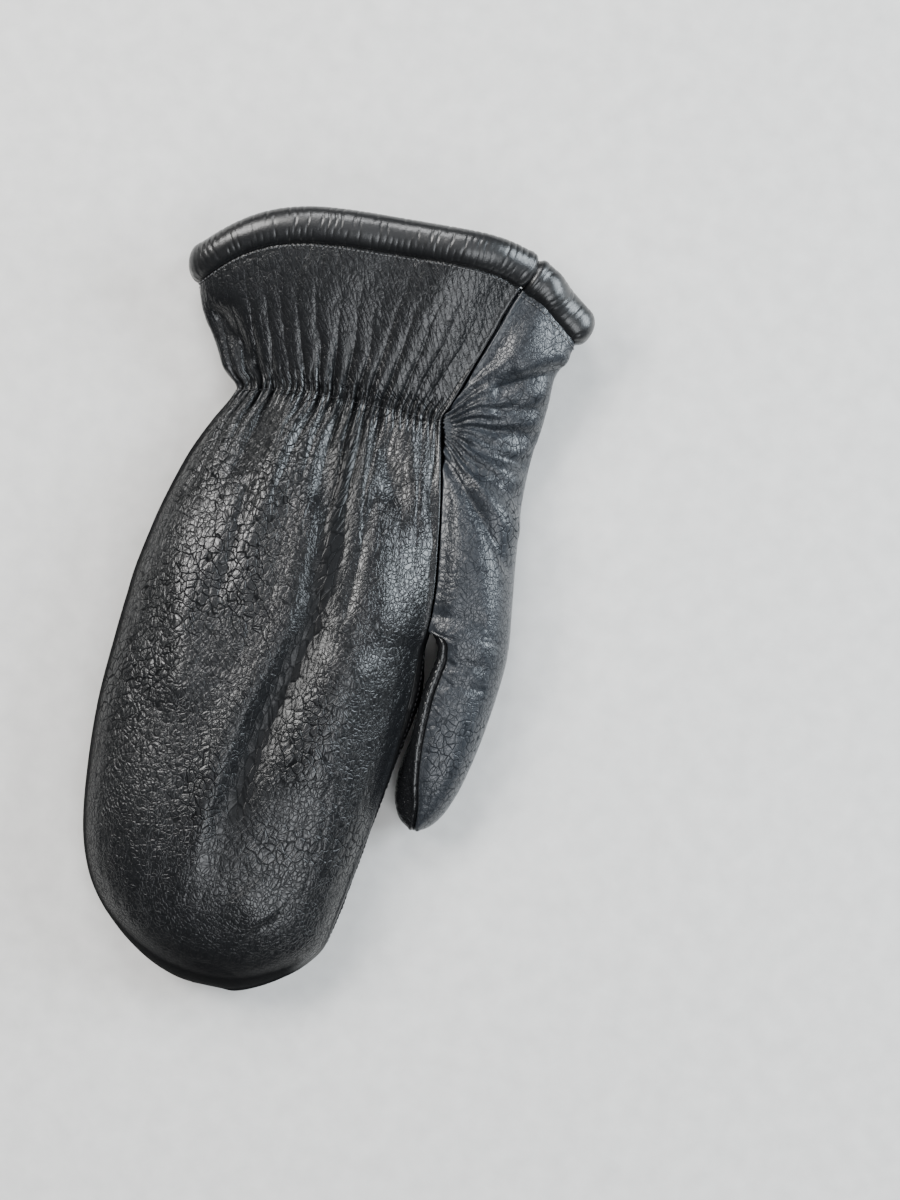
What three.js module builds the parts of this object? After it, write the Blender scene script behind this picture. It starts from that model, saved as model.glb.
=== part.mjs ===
// A right-hand leather mitten, lying on its palm with the back of the hand up.
// +Y runs from the fingertip to the cuff, +X towards the thumb, +Z up. Millimetres.
// The origin is on the flat of the palm, where the mitten rests.

import * as THREE from 'three';

// Hand: from the fingertip to the gathered wrist
const HAND_LENGTH = 207.4;
const HAND_WIDTH = 107;
const HAND_HEIGHT = 40;
const WRIST_AT = 105;

// Cuff: from the gathered wrist to the rim
const CUFF_LENGTH = 37;
const CUFF_WIDTH = 136;
const CUFF_HEIGHT = 41;
const CUFF_ARCH = 19;
const CUFF_LEAN = 3;

// Thumb: from the crotch to its tip
const THUMB_LENGTH = 70.2;
const THUMB_WIDTH = 29;
const THUMB_HEIGHT = 30;

// Leather, seams and the padded roll round the opening
const WALL = 2.2;
const WEB_WIDTH = 4;
const SEAM_GAP = 0.3;
const ROLL_LENGTH = 12;
const ROLL_THICKNESS = 9;
const ROLL_JOINT = 0.5;

// Elastic gathers at the wrist
const GATHER_PITCH = 7.4;
const GATHER_DEPTH = 1.3;
const GATHER_REACH = 13;

// Sections of the hand, from the fingertip to the wrist. at is a share of HAND_LENGTH; left,
// seam, turnLeft and turnRight are shares of HAND_WIDTH, turns being the round floor corners;
// crown, side, seamUp and floor are heights as shares of HAND_HEIGHT; crownAt is a share of the
// way from left to seam; slope is the surface's angle at the thumb-side seam, in degrees; arch
// is a share of CUFF_ARCH.
const HAND_COLUMNS = ['at', 'left', 'seam', 'crownAt', 'crown', 'side', 'seamUp', 'slope',
  'floor', 'turnLeft', 'turnRight', 'arch'];
const HAND_ROWS = [
  [0.000, -0.012, 0.085, 0.50, 0.300, 0.300, 0.300, -90, 0.300, 0.019, 0.019, 0],
  [0.007, -0.079, 0.143, 0.50, 0.463, 0.310, 0.310, -90, 0.155, 0.056, 0.056, 0],
  [0.021, -0.151, 0.203, 0.50, 0.588, 0.325, 0.325, -90, 0.075, 0.084, 0.084, 0],
  [0.041, -0.219, 0.264, 0.49, 0.688, 0.338, 0.350, -88, 0.025, 0.103, 0.103, 0],
  [0.069, -0.290, 0.329, 0.48, 0.787, 0.350, 0.388, -86, 0.000, 0.112, 0.112, 0],
  [0.108, -0.364, 0.384, 0.47, 0.875, 0.375, 0.438, -82, 0.000, 0.121, 0.112, 0],
  [0.156, -0.423, 0.404, 0.46, 0.938, 0.388, 0.475, -78, 0.000, 0.121, 0.112, 0],
  [0.224, -0.467, 0.427, 0.46, 0.982, 0.400, 0.500, -74, 0.000, 0.121, 0.112, 0],
  [0.320, -0.493, 0.452, 0.45, 1.000, 0.400, 0.500, -72, 0.000, 0.121, 0.112, 0],
  [0.436, -0.505, 0.480, 0.45, 1.000, 0.400, 0.512, -70, 0.000, 0.121, 0.103, 0],
  [0.552, -0.495, 0.493, 0.45, 1.000, 0.400, 0.537, -66, 0.000, 0.121, 0.093, 0],
  [0.629, -0.484, 0.494, 0.45, 0.990, 0.400, 0.588, -58, 0.000, 0.121, 0.075, 0],
  [0.670, -0.477, 0.506, 0.45, 0.980, 0.400, 0.637, -48, 0.000, 0.121, 0.056, 0],
  [0.728, -0.458, 0.505, 0.45, 0.960, 0.395, 0.675, -36, 0.000, 0.112, 0.047, 0],
  [0.793, -0.432, 0.490, 0.45, 0.925, 0.385, 0.680, -28, 0.000, 0.112, 0.047, 0],
  [0.879, -0.384, 0.463, 0.46, 0.838, 0.365, 0.650, -20, 0.015, 0.103, 0.047, 0],
  [0.942, -0.331, 0.435, 0.47, 0.740, 0.345, 0.605, -14, 0.045, 0.093, 0.047, 0.10],
  [1.000, -0.275, 0.408, 0.48, 0.675, 0.335, 0.565, -12, 0.075, 0.084, 0.047, 0.22],
];
const CROTCH_ROW = 12;
const WEB_FOOT_ROW = 13;

// Sections of the cuff, from the wrist to the rim: at is a share of CUFF_LENGTH, widths are
// shares of CUFF_WIDTH, heights of CUFF_HEIGHT, and lean is a share of CUFF_LEAN.
const CUFF_COLUMNS = ['at', 'left', 'seam', 'crownAt', 'crown', 'side', 'seamUp', 'slope',
  'floor', 'turnLeft', 'arch', 'lean'];
const CUFF_ROWS = [
  [0.151, -0.249, 0.340, 0.49, 0.698, 0.356, 0.585, -14, 0.078, 0.066, 0.30, 0.05],
  [0.416, -0.291, 0.375, 0.50, 0.780, 0.415, 0.668, -18, 0.083, 0.074, 0.50, 0.25],
  [0.676, -0.334, 0.410, 0.51, 0.868, 0.473, 0.746, -23, 0.083, 0.081, 0.75, 0.60],
  [0.854, -0.352, 0.432, 0.52, 0.922, 0.507, 0.790, -27, 0.083, 0.081, 0.92, 0.85],
  [1.000, -0.362, 0.451, 0.52, 0.951, 0.532, 0.815, -30, 0.083, 0.088, 1.00, 1.00],
];

// The leather between the back's seam and the underside's seam, above the crotch: its crown,
// the surface's angles at the crown and at the seam, its widest point, and the foot of the
// underside seam. The first six rows follow the hand's rows from the crotch up, and the rest
// follow the cuff's rows.
const GUSSET_COLUMNS = ['topAt', 'top', 'topSlope', 'rise', 'right', 'rightUp', 'foot'];
const GUSSET_HAND_ROWS = [
  [0.636, 0.762, 0, 40, 0.778, 0.350, 0.575],
  [0.631, 0.782, 0, 42, 0.764, 0.350, 0.575],
  [0.621, 0.782, -4, 40, 0.748, 0.350, 0.560],
  [0.598, 0.740, -6, 36, 0.728, 0.335, 0.533],
  [0.579, 0.685, -8, 32, 0.721, 0.325, 0.523],
  [0.565, 0.640, -10, 28, 0.724, 0.325, 0.514],
];
const GUSSET_CUFF_ROWS = [
  [0.457, 0.659, -12, 26, 0.576, 0.346, 0.408],
  [0.482, 0.717, -18, 18, 0.582, 0.400, 0.419],
  [0.512, 0.746, -26, 4, 0.584, 0.454, 0.430],
  [0.531, 0.732, -34, -12, 0.603, 0.493, 0.441],
  [0.540, 0.717, -40, -22, 0.615, 0.517, 0.456],
];

// Sections of the thumb, from just below the crotch to its tip. at is a share of THUMB_LENGTH
// from the crotch; widths are shares of THUMB_WIDTH from the crotch's side; heights are shares
// of THUMB_HEIGHT; rise is the surface's angle at the upper seam, in degrees.
const THUMB_COLUMNS = ['at', 'seam', 'seamUp', 'rise', 'topAt', 'top', 'right', 'rightUp',
  'foot', 'floor', 'left', 'leftUp'];
const THUMB_ROWS = [
  [0.028, 0.224, 0.953, 34, 0.531, 1.013, 1.007, 0.467, 0.250, 0.000, 0.120, 0.400],
  [0.123, 0.279, 0.927, 36, 0.566, 0.987, 1.010, 0.467, 0.350, 0.000, 0.238, 0.400],
  [0.322, 0.224, 0.880, 38, 0.531, 0.947, 0.969, 0.450, 0.362, 0.000, 0.148, 0.400],
  [0.550, 0.210, 0.840, 40, 0.497, 0.907, 0.890, 0.433, 0.321, 0.000, 0.072, 0.400],
  [0.735, 0.252, 0.787, 38, 0.479, 0.847, 0.790, 0.417, 0.293, 0.000, 0.003, 0.400],
  [0.863, 0.314, 0.693, 34, 0.445, 0.740, 0.683, 0.400, 0.300, 0.047, 0.028, 0.387],
  [0.942, 0.334, 0.607, 24, 0.400, 0.627, 0.569, 0.387, 0.314, 0.113, 0.107, 0.380],
  [0.986, 0.334, 0.543, 10, 0.360, 0.547, 0.452, 0.380, 0.328, 0.187, 0.217, 0.373],
  [1.000, 0.334, 0.473, 0, 0.334, 0.473, 0.334, 0.373, 0.334, 0.273, 0.334, 0.373],
];

// Folds of the upper leather. Places are shares of HAND_WIDTH across, and of HAND_LENGTH down
// from the wrist; width is a share of HAND_WIDTH, and depth of HAND_HEIGHT, a ridge's positive.
const HAND_FOLD_COLUMNS = ['fromX', 'fromY', 'toX', 'toY', 'width', 'depth'];
const HAND_FOLDS = [
  [0.052, 0.000, 0.064, 0.140, 0.050, -0.085],
  [0.064, 0.140, 0.040, 0.400, 0.070, -0.080],
  [0.040, 0.400, -0.087, 0.620, 0.080, -0.060],
  [-0.173, -0.010, -0.205, 0.130, 0.045, -0.075],
  [-0.080, 0.000, -0.090, 0.200, 0.040, 0.045],
  [0.180, -0.020, 0.328, 0.125, 0.050, -0.070],
  [0.300, 0.000, 0.400, 0.150, 0.040, 0.040],
  [0.430, 0.000, 0.700, 0.030, 0.035, -0.060],
  [0.470, 0.020, 0.735, 0.180, 0.040, -0.060],
];
// Folds of the cuff: heights are shares of CUFF_LENGTH up from the wrist, the rest as above.
const CUFF_FOLDS = [
  [-0.387, 0.650, -0.205, 0.150, 0.045, -0.080],
  [-0.450, 0.500, -0.330, 0.150, 0.050, 0.050],
  [0.573, 0.500, 0.740, 0.780, 0.040, -0.075],
  [0.640, 0.850, 0.760, 0.950, 0.060, 0.045],
];

// How finely the panels are divided
const BACK_COLUMNS = 27;
const PALM_COLUMNS = 20;
const THUMB_PANEL_COLUMNS = 13;
const INNER_COLUMNS = 6;
const ROW_STEP = 7.5;
const ROLL_SIDES = 9;
const ROLL_STEP = 8;
const WEB_SHARES = [0.3, 0.6, 0.88];
const WEB_SLOPE = 50;
const WEB_RUN = 24;
const PALM_SLOPE = -74;
// Below the crotch's seam: how far the thumb's inner side stands off, as a share of THUMB_WIDTH,
// and the surface's angle there, in degrees
const CROTCH_SPREAD = 0.085;
const CROTCH_TURN = 292;

const DEGREE = Math.PI / 180;
const RELIEF_FADE = 0.75;
const CIRCLE_HANDLE = 0.5523;
const ARCH_POWER = 4;
const ARCH_BELOW = 0.35;

const { clamp, lerp: mix } = THREE.MathUtils;
const smooth = (t) => THREE.MathUtils.smoothstep(t, 0, 1);

// A table's rows as objects that name their columns, each length times its own size
function named(columns, rows, sizes) {
  return rows.map((row) => Object.fromEntries(
    columns.map((column, i) => [column, row[i] * (sizes[column] ?? 1)])));
}

// The row at a fractional index: a Catmull-Rom curve through each column
function rowAt(rows, index) {
  const low = clamp(Math.floor(index), 0, rows.length - 2);
  const t = index - low;
  const before = rows[Math.max(low - 1, 0)];
  const after = rows[Math.min(low + 2, rows.length - 1)];
  const curve = (a, b, c, d) => 0.5 * (2 * b + (c - a) * t + (2 * a - 5 * b + 4 * c - d) * t * t
    + (3 * b - a - 3 * c + d) * t * t * t);
  return Object.fromEntries(Object.keys(rows[low]).map((key) => [key,
    curve(before[key], rows[low][key], rows[low + 1][key], after[key])]));
}

// The trunk's rows, from the fingertip to the rim, with places in millimetres
const handWidths = Object.fromEntries(['left', 'seam', 'turnLeft', 'turnRight', 'topAt', 'right',
  'foot'].map((column) => [column, HAND_WIDTH]));
const handHeights = Object.fromEntries(['crown', 'side', 'seamUp', 'floor', 'top', 'rightUp']
  .map((column) => [column, HAND_HEIGHT]));
const cuffWidths = Object.fromEntries(Object.keys(handWidths)
  .map((column) => [column, CUFF_WIDTH]));
const cuffHeights = Object.fromEntries(Object.keys(handHeights)
  .map((column) => [column, CUFF_HEIGHT]));
const handSizes = { ...handWidths, ...handHeights, at: HAND_LENGTH, arch: CUFF_ARCH };
const cuffSizes = { ...cuffWidths, ...cuffHeights, at: CUFF_LENGTH, arch: CUFF_ARCH,
  lean: CUFF_LEAN };

const handRows = named(HAND_COLUMNS, HAND_ROWS, handSizes)
  .map((row) => ({ ...row, lean: 0, y: WRIST_AT - HAND_LENGTH + row.at }));
const cuffRows = named(CUFF_COLUMNS, CUFF_ROWS, cuffSizes)
  .map((row) => ({ ...row, turnRight: 0, y: WRIST_AT + row.at }));
const gussetRows = [...named(GUSSET_COLUMNS, GUSSET_HAND_ROWS, handSizes),
  ...named(GUSSET_COLUMNS, GUSSET_CUFF_ROWS, cuffSizes)];
const trunkRows = [...handRows, ...cuffRows].map((row, i) => ({
  ...row, ...gussetRows[Math.max(i - CROTCH_ROW, 0)] }));
const RIM_ROW = trunkRows.length - 1;

const crotchRow = trunkRows[CROTCH_ROW];
const thumbSizes = { at: THUMB_LENGTH };
for (const column of ['seam', 'topAt', 'right', 'foot', 'left']) thumbSizes[column] = THUMB_WIDTH;
for (const column of ['seamUp', 'top', 'rightUp', 'floor', 'leftUp']) {
  thumbSizes[column] = THUMB_HEIGHT;
}
const thumbRows = named(THUMB_COLUMNS, THUMB_ROWS, thumbSizes).map((row) => ({
  ...row, y: crotchRow.y - row.at, seam: row.seam + crotchRow.seam,
  topAt: row.topAt + crotchRow.seam, right: row.right + crotchRow.seam,
  foot: row.foot + crotchRow.seam, left: row.left + crotchRow.seam, turn: row.rise + 180 }));
thumbRows.unshift({ ...thumbRows[0], at: 0, y: crotchRow.y, seam: crotchRow.seam,
  seamUp: crotchRow.seamUp, rise: crotchRow.rise, topAt: crotchRow.topAt, top: crotchRow.top,
  right: crotchRow.right, rightUp: crotchRow.rightUp, foot: crotchRow.foot,
  left: crotchRow.seam + CROTCH_SPREAD * THUMB_WIDTH, turn: CROTCH_TURN });

// A smooth line through key points [x, z, angle], divided evenly by length. Each stretch is a
// cubic whose handles match a circle's on a quarter turn.
function arc(keys, count) {
  const path = new THREE.CurvePath();
  for (let i = 1; i < keys.length; i += 1) {
    const [x0, z0, angle0] = keys[i - 1];
    const [x1, z1, angle1] = keys[i];
    const handle = (angle) => {
      const dx = Math.cos(angle * DEGREE);
      const dz = Math.sin(angle * DEGREE);
      const reach = CIRCLE_HANDLE * (Math.abs(dx * (x1 - x0)) + Math.abs(dz * (z1 - z0)));
      return new THREE.Vector2(dx, dz).multiplyScalar(reach);
    };
    const start = new THREE.Vector2(x0, z0);
    const end = new THREE.Vector2(x1, z1);
    path.add(new THREE.CubicBezierCurve(start, start.clone().add(handle(angle0)),
      end.clone().sub(handle(angle1)), end));
  }
  return path.getSpacedPoints(count);
}

// A trunk row's point at x and z: the cuff's rows are arched over the back and lean
function trunkPoint(row, x, z) {
  const middle = (row.left + row.right) / 2;
  const side = clamp((x - middle) / (row.right - middle), -1, 1);
  const up = smooth((z - row.floor) / Math.max(row.crown - row.floor, WALL));
  const arch = row.arch * (1 - Math.abs(side) ** ARCH_POWER) * mix(ARCH_BELOW, 1, up);
  return new THREE.Vector3(x, row.y + arch + row.lean * side, z);
}

const trunkLine = (row, keys, count) => arc(keys, count).map((p) => trunkPoint(row, p.x, p.y));

// The web between hand and thumb: its ridge falls from the crotch to the underside, with the
// groove below it opening like an upturned V
function webRidge(row, index) {
  const fall = clamp((index - CROTCH_ROW) / (WEB_FOOT_ROW - CROTCH_ROW), 0, 1);
  const foot = trunkRows[WEB_FOOT_ROW].foot - WEB_WIDTH;
  return [mix(crotchRow.seam, foot, fall * fall), mix(crotchRow.seamUp, row.floor, fall),
    mix(90, WEB_SLOPE, smooth(fall * 2))];
}

function backLine(index) {
  const row = rowAt(trunkRows, index);
  return trunkLine(row, [[row.left, row.side, 90],
    [mix(row.left, row.seam, row.crownAt), row.crown, 0],
    [row.seam, row.seamUp, row.slope]], BACK_COLUMNS);
}

function palmLine(index) {
  const row = rowAt(trunkRows, index);
  const keys = [[row.left, row.side, -90], [row.left + row.turnLeft, row.floor, 0]];
  if (index >= WEB_FOOT_ROW) {
    keys.push([row.foot, row.floor, 0]);
  } else if (index > CROTCH_ROW) {
    const [x, z, slope] = webRidge(row, index);
    keys.push([x - row.turnRight, row.floor, 0], [x, z, slope]);
  } else {
    const upright = smooth((crotchRow.y - row.y) / WEB_RUN);
    const rise = mix(90, 180 + Math.min(row.slope, PALM_SLOPE), upright);
    keys.push([row.seam - row.turnRight, row.floor, 0], [row.seam, row.seamUp, rise]);
  }
  return trunkLine(row, keys, PALM_COLUMNS);
}

function gussetLine(index) {
  const row = rowAt(trunkRows, index);
  return trunkLine(row, [[row.seam, row.seamUp, row.rise], [row.topAt, row.top, row.topSlope],
    [row.right, row.rightUp, -90], [row.foot, row.floor, -180]], THUMB_PANEL_COLUMNS);
}

const thumbLine = (row, keys, count) => arc(keys, count)
  .map((p) => new THREE.Vector3(p.x, row.y, p.y));

function thumbOuterLine(index) {
  const row = rowAt(thumbRows, index);
  return thumbLine(row, [[row.seam, row.seamUp, row.rise], [row.topAt, row.top, 0],
    [row.right, row.rightUp, -90], [row.foot, row.floor, -180]], THUMB_PANEL_COLUMNS);
}

function thumbInnerLine(index) {
  const row = rowAt(thumbRows, index);
  return thumbLine(row, [[row.seam, row.seamUp, row.turn], [row.left, row.leftUp, -90],
    [row.foot, row.floor, 0]], INNER_COLUMNS);
}

function webLine(index) {
  const row = rowAt(trunkRows, index);
  const [x, z, slope] = webRidge(row, index);
  return trunkLine(row, [[x, z, -slope], [row.foot, row.floor, 0]], INNER_COLUMNS);
}

// Row indices between two table rows, closer where the table's rows are closer
function rowIndices(rows, from, to) {
  const indices = [];
  for (let i = from; i < to; i += 1) {
    const reach = (row) => row.y + (row.arch ?? 0);
    const span = Math.abs(reach(rows[i + 1]) - reach(rows[i]));
    const steps = Math.max(1, Math.round(span / ROW_STEP));
    for (let k = 0; k < steps; k += 1) indices.push(i + k / steps);
  }
  indices.push(to);
  return indices;
}

const handIndices = rowIndices(trunkRows, 0, CROTCH_ROW);
const webIndices = WEB_SHARES.map((share) => mix(CROTCH_ROW, WEB_FOOT_ROW, share));
const upperIndices = rowIndices(trunkRows, WEB_FOOT_ROW, RIM_ROW);
const trunkIndices = [...handIndices, ...webIndices, ...upperIndices];
const thumbIndices = rowIndices(thumbRows, 1, thumbRows.length - 1).reverse();

// Every panel as a grid of points on its outer face, from its lowest row to its highest
const backGrid = trunkIndices.map(backLine);
const palmGrid = trunkIndices.map(palmLine);
const thumbGrid = [...thumbIndices.map(thumbOuterLine),
  ...[CROTCH_ROW, ...webIndices, ...upperIndices].map(gussetLine)];
const innerGrid = [...thumbIndices.map(thumbInnerLine), thumbInnerLine(0),
  ...webIndices.map(webLine)];

// The folds and gathers of the leather, as a height over the smooth form
function foldHeight(folds, sizeY, x, y) {
  let height = 0;
  for (const fold of folds) {
    const from = new THREE.Vector2(fold.fromX, fold.fromY * sizeY);
    const along = new THREE.Vector2(fold.toX, fold.toY * sizeY).sub(from);
    const offset = new THREE.Vector2(x, y).sub(from);
    const share = offset.dot(along) / along.lengthSq();
    const away = offset.sub(along.multiplyScalar(clamp(share, 0, 1))).length();
    height += fold.depth * Math.exp(-((away / fold.width) ** 2));
  }
  return height;
}

const foldSizes = { fromX: HAND_WIDTH, toX: HAND_WIDTH, width: HAND_WIDTH, depth: HAND_HEIGHT };
const handFolds = named(HAND_FOLD_COLUMNS, HAND_FOLDS, foldSizes);
const cuffFolds = named(HAND_FOLD_COLUMNS, CUFF_FOLDS, foldSizes);
const wristLine = WRIST_AT + trunkRows[HAND_ROWS.length - 1].arch;

function relief(point, normal) {
  const upward = smooth(normal.z / RELIEF_FADE);
  const { x, y } = point;
  const folds = foldHeight(handFolds, -HAND_LENGTH, x, y - WRIST_AT)
    + foldHeight(cuffFolds, CUFF_LENGTH, x, y - WRIST_AT);
  const gather = GATHER_DEPTH * Math.cos((2 * Math.PI * x) / GATHER_PITCH)
    * Math.exp(-(((y - wristLine) / GATHER_REACH) ** 2));
  return upward * (folds + gather);
}

// Outward directions of a grid, from its neighbours on each side
function gridNormals(grid, sign) {
  return grid.map((line, r) => line.map((_, c) => {
    const across = line[Math.min(c + 1, line.length - 1)].clone().sub(line[Math.max(c - 1, 0)]);
    const along = grid[Math.min(r + 1, grid.length - 1)][c].clone()
      .sub(grid[Math.max(r - 1, 0)][c]);
    return across.cross(along).multiplyScalar(sign).normalize();
  }));
}

// A panel: its name, its grid of points and its outward directions
function makePanel(name, grid, sign) {
  return { name, grid, normals: gridNormals(grid, sign), rows: grid.length,
    columns: grid[0].length };
}

const back = makePanel('back_panel', backGrid, 1);
const palm = makePanel('palm_panel', palmGrid, -1);
const thumb = makePanel('thumb_panel', thumbGrid, 1);
const inner = makePanel('thumb_inner_panel', innerGrid, -1);
const panels = [back, palm, thumb, inner];

// The web's ridge opens forwards and down, so its wall runs backwards and up
const webFoot = trunkRows[WEB_FOOT_ROW];
const webOut = new THREE.Vector3(0, -crotchRow.seamUp, -(webFoot.y - crotchRow.y)).normalize();
webIndices.forEach((_, k) => {
  palm.normals[handIndices.length + k][PALM_COLUMNS].copy(webOut);
  inner.normals[thumbIndices.length + 1 + k][0].copy(webOut);
});
palm.normals[handIndices.length - 1][PALM_COLUMNS].copy(webOut);
inner.normals[thumbIndices.length][0].copy(webOut);

// The tips close along a straight seam, where the leather faces forwards
for (const panel of panels) {
  panel.normals[0].forEach((normal) => normal.set(0, -1, 0));
}

// Panels that share a point along a seam share its outward direction
const shared = new Map();
const place = (p) => [p.x, p.y, p.z].map((v) => v.toFixed(3)).join(' ');
for (const panel of panels) {
  panel.grid.forEach((line, r) => line.forEach((point, c) => {
    const edge = r === 0 || c === 0 || r === panel.rows - 1 || c === panel.columns - 1;
    if (!edge) return;
    const key = place(point);
    if (!shared.has(key)) shared.set(key, new THREE.Vector3());
    shared.get(key).add(panel.normals[r][c]);
    panel.normals[r][c].shared = key;
  }));
}
for (const panel of panels) {
  panel.normals.forEach((line) => line.forEach((normal) => {
    if (normal.shared) normal.copy(shared.get(normal.shared)).normalize();
  }));
}

// The edge points of a panel, once round
function border({ rows, columns }) {
  const loop = [];
  for (let c = 0; c < columns - 1; c += 1) loop.push([0, c]);
  for (let r = 0; r < rows - 1; r += 1) loop.push([r, columns - 1]);
  for (let c = columns - 1; c > 0; c -= 1) loop.push([rows - 1, c]);
  for (let r = rows - 1; r > 0; r -= 1) loop.push([r, 0]);
  return loop;
}

// The leather of a panel: an outer face, an inner face one wall below it, and the cut edges,
// set back half a seam gap so that two panels never touch
function panelGeometry(panel) {
  const { grid, normals, rows, columns } = panel;
  const outer = grid.map((line, r) => line.map((point, c) => point.clone()
    .addScaledVector(normals[r][c], relief(point, normals[r][c]))));
  const loop = border(panel);
  const setBack = loop.map(([r, c], i) => {
    const [r0, c0] = loop[(i + loop.length - 1) % loop.length];
    const [r1, c1] = loop[(i + 1) % loop.length];
    const tangent = grid[r1][c1].clone().sub(grid[r0][c0]);
    const inward = tangent.cross(normals[r][c]).normalize();
    const centre = grid[clamp(r, 1, rows - 2)][clamp(c, 1, columns - 2)];
    return inward.dot(centre.clone().sub(grid[r][c])) < 0 ? inward.negate() : inward;
  });
  loop.forEach(([r, c], i) => outer[r][c].addScaledVector(setBack[i], SEAM_GAP / 2));
  const lining = outer.map((line, r) => line.map((point, c) => point.clone()
    .addScaledVector(normals[r][c], -WALL)));
  const positions = [...outer.flat(), ...lining.flat()];
  const index = (r, c) => r * columns + c;
  const under = rows * columns;
  const faces = [];
  for (let r = 0; r < rows - 1; r += 1) {
    for (let c = 0; c < columns - 1; c += 1) {
      const [a, b] = [index(r, c), index(r, c + 1)];
      const [d, e] = [index(r + 1, c), index(r + 1, c + 1)];
      faces.push(a, b, e, a, e, d, a + under, e + under, b + under, a + under, d + under,
        e + under);
    }
  }
  loop.forEach(([r, c], i) => {
    const [r1, c1] = loop[(i + 1) % loop.length];
    const a = index(r, c);
    const b = index(r1, c1);
    faces.push(b, a, a + under, b, a + under, b + under);
  });
  return closedGeometry(positions, faces);
}

// A geometry from points and faces, turned so that its faces point outwards
function closedGeometry(positions, faces) {
  let volume = 0;
  for (let i = 0; i < faces.length; i += 3) {
    const [a, b, c] = [positions[faces[i]], positions[faces[i + 1]], positions[faces[i + 2]]];
    volume += a.dot(b.clone().cross(c));
  }
  if (volume < 0) faces.reverse();
  const geometry = new THREE.BufferGeometry();
  geometry.setAttribute('position',
    new THREE.Float32BufferAttribute(positions.flatMap((p) => [p.x, p.y, p.z]), 3));
  geometry.setIndex(faces);
  geometry.computeVertexNormals();
  return geometry;
}

// The rim of the cuff: each point with the way out of the cuff and the leather's outward way
function rimStations(panel) {
  const last = panel.rows - 1;
  return panel.grid[last].map((point, c) => ({
    point,
    out: point.clone().sub(panel.grid[last - 1][c]).normalize(),
    normal: panel.normals[last][c],
  }));
}

// A padded roll along a stretch of the rim: an oval section carried along it, with flat ends
function rollGeometry(stations) {
  const curveOf = (key) => new THREE.CatmullRomCurve3(stations.map((s) => s[key]));
  const line = curveOf('point');
  const outs = curveOf('out');
  const normals = curveOf('normal');
  const length = line.getLength();
  const margin = ROLL_JOINT / 2 / length;
  const steps = Math.round(length / ROLL_STEP);
  const positions = [];
  for (let i = 0; i <= steps; i += 1) {
    const t = line.getUtoTmapping(mix(margin, 1 - margin, i / steps));
    const out = outs.getPoint(t).normalize();
    const normal = normals.getPoint(t).normalize();
    normal.addScaledVector(out, -normal.dot(out)).normalize();
    const centre = line.getPoint(t).addScaledVector(normal, -WALL / 2)
      .addScaledVector(out, SEAM_GAP + ROLL_LENGTH / 2);
    for (let k = 0; k < ROLL_SIDES; k += 1) {
      const angle = (2 * Math.PI * k) / ROLL_SIDES;
      positions.push(centre.clone().addScaledVector(out, -Math.cos(angle) * ROLL_LENGTH / 2)
        .addScaledVector(normal, Math.sin(angle) * ROLL_THICKNESS / 2));
    }
  }
  const faces = [];
  for (let i = 0; i < steps; i += 1) {
    for (let k = 0; k < ROLL_SIDES; k += 1) {
      const a = i * ROLL_SIDES + k;
      const b = i * ROLL_SIDES + (k + 1) % ROLL_SIDES;
      faces.push(a, b, b + ROLL_SIDES, a, b + ROLL_SIDES, a + ROLL_SIDES);
    }
  }
  const end = steps * ROLL_SIDES;
  for (let k = 1; k < ROLL_SIDES - 1; k += 1) {
    faces.push(0, k + 1, k, end, end + k, end + k + 1);
  }
  return closedGeometry(positions, faces);
}

const leather = (color, roughness) => new THREE.MeshStandardMaterial({
  color, roughness, metalness: 0 });

function piece(name, geometry, material) {
  const mesh = new THREE.Mesh(geometry, material);
  mesh.name = name;
  return mesh;
}

const backRim = rimStations(back);
const palmRim = rimStations(palm);
const thumbRim = rimStations(thumb);
const underRim = [...thumbRim, ...palmRim.slice(0, -1).reverse()];

const group = new THREE.Group();
group.name = 'leather_mitten';
group.add(piece(back.name, panelGeometry(back), leather(0x17181b, 0.42)));
group.add(piece(palm.name, panelGeometry(palm), leather(0x151619, 0.46)));
group.add(piece(thumb.name, panelGeometry(thumb), leather(0x16181c, 0.4)));
group.add(piece(inner.name, panelGeometry(inner), leather(0x131417, 0.46)));
group.add(piece('rim_roll_back', rollGeometry(backRim), leather(0x141518, 0.34)));
group.add(piece('rim_roll_palm', rollGeometry(underRim), leather(0x141518, 0.34)));

export default group;
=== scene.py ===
"""A right-hand leather mitten lying on its palm: leather panels, padded rolls and stitching.

Lengths are millimetres until a mesh is made, which is in metres. +Y runs from the fingertip to
the cuff, +X towards the thumb and +Z up, with the origin on the flat of the palm.
"""

import logging
import math
from collections.abc import Callable
from dataclasses import dataclass, field
from enum import Enum

import bpy
import numpy as np
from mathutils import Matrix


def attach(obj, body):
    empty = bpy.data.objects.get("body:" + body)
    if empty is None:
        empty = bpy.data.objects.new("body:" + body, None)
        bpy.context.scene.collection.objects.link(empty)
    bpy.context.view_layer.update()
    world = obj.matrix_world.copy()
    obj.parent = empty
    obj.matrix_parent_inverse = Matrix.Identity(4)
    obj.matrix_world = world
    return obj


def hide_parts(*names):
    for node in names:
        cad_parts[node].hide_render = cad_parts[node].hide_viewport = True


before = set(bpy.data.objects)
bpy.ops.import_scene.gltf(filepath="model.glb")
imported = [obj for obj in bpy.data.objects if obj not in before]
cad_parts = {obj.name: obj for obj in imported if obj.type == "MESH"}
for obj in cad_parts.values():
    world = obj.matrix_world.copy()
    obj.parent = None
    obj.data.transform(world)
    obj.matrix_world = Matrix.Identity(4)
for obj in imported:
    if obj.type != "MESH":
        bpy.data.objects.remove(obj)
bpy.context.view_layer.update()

log = logging.getLogger("mitten")

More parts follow.
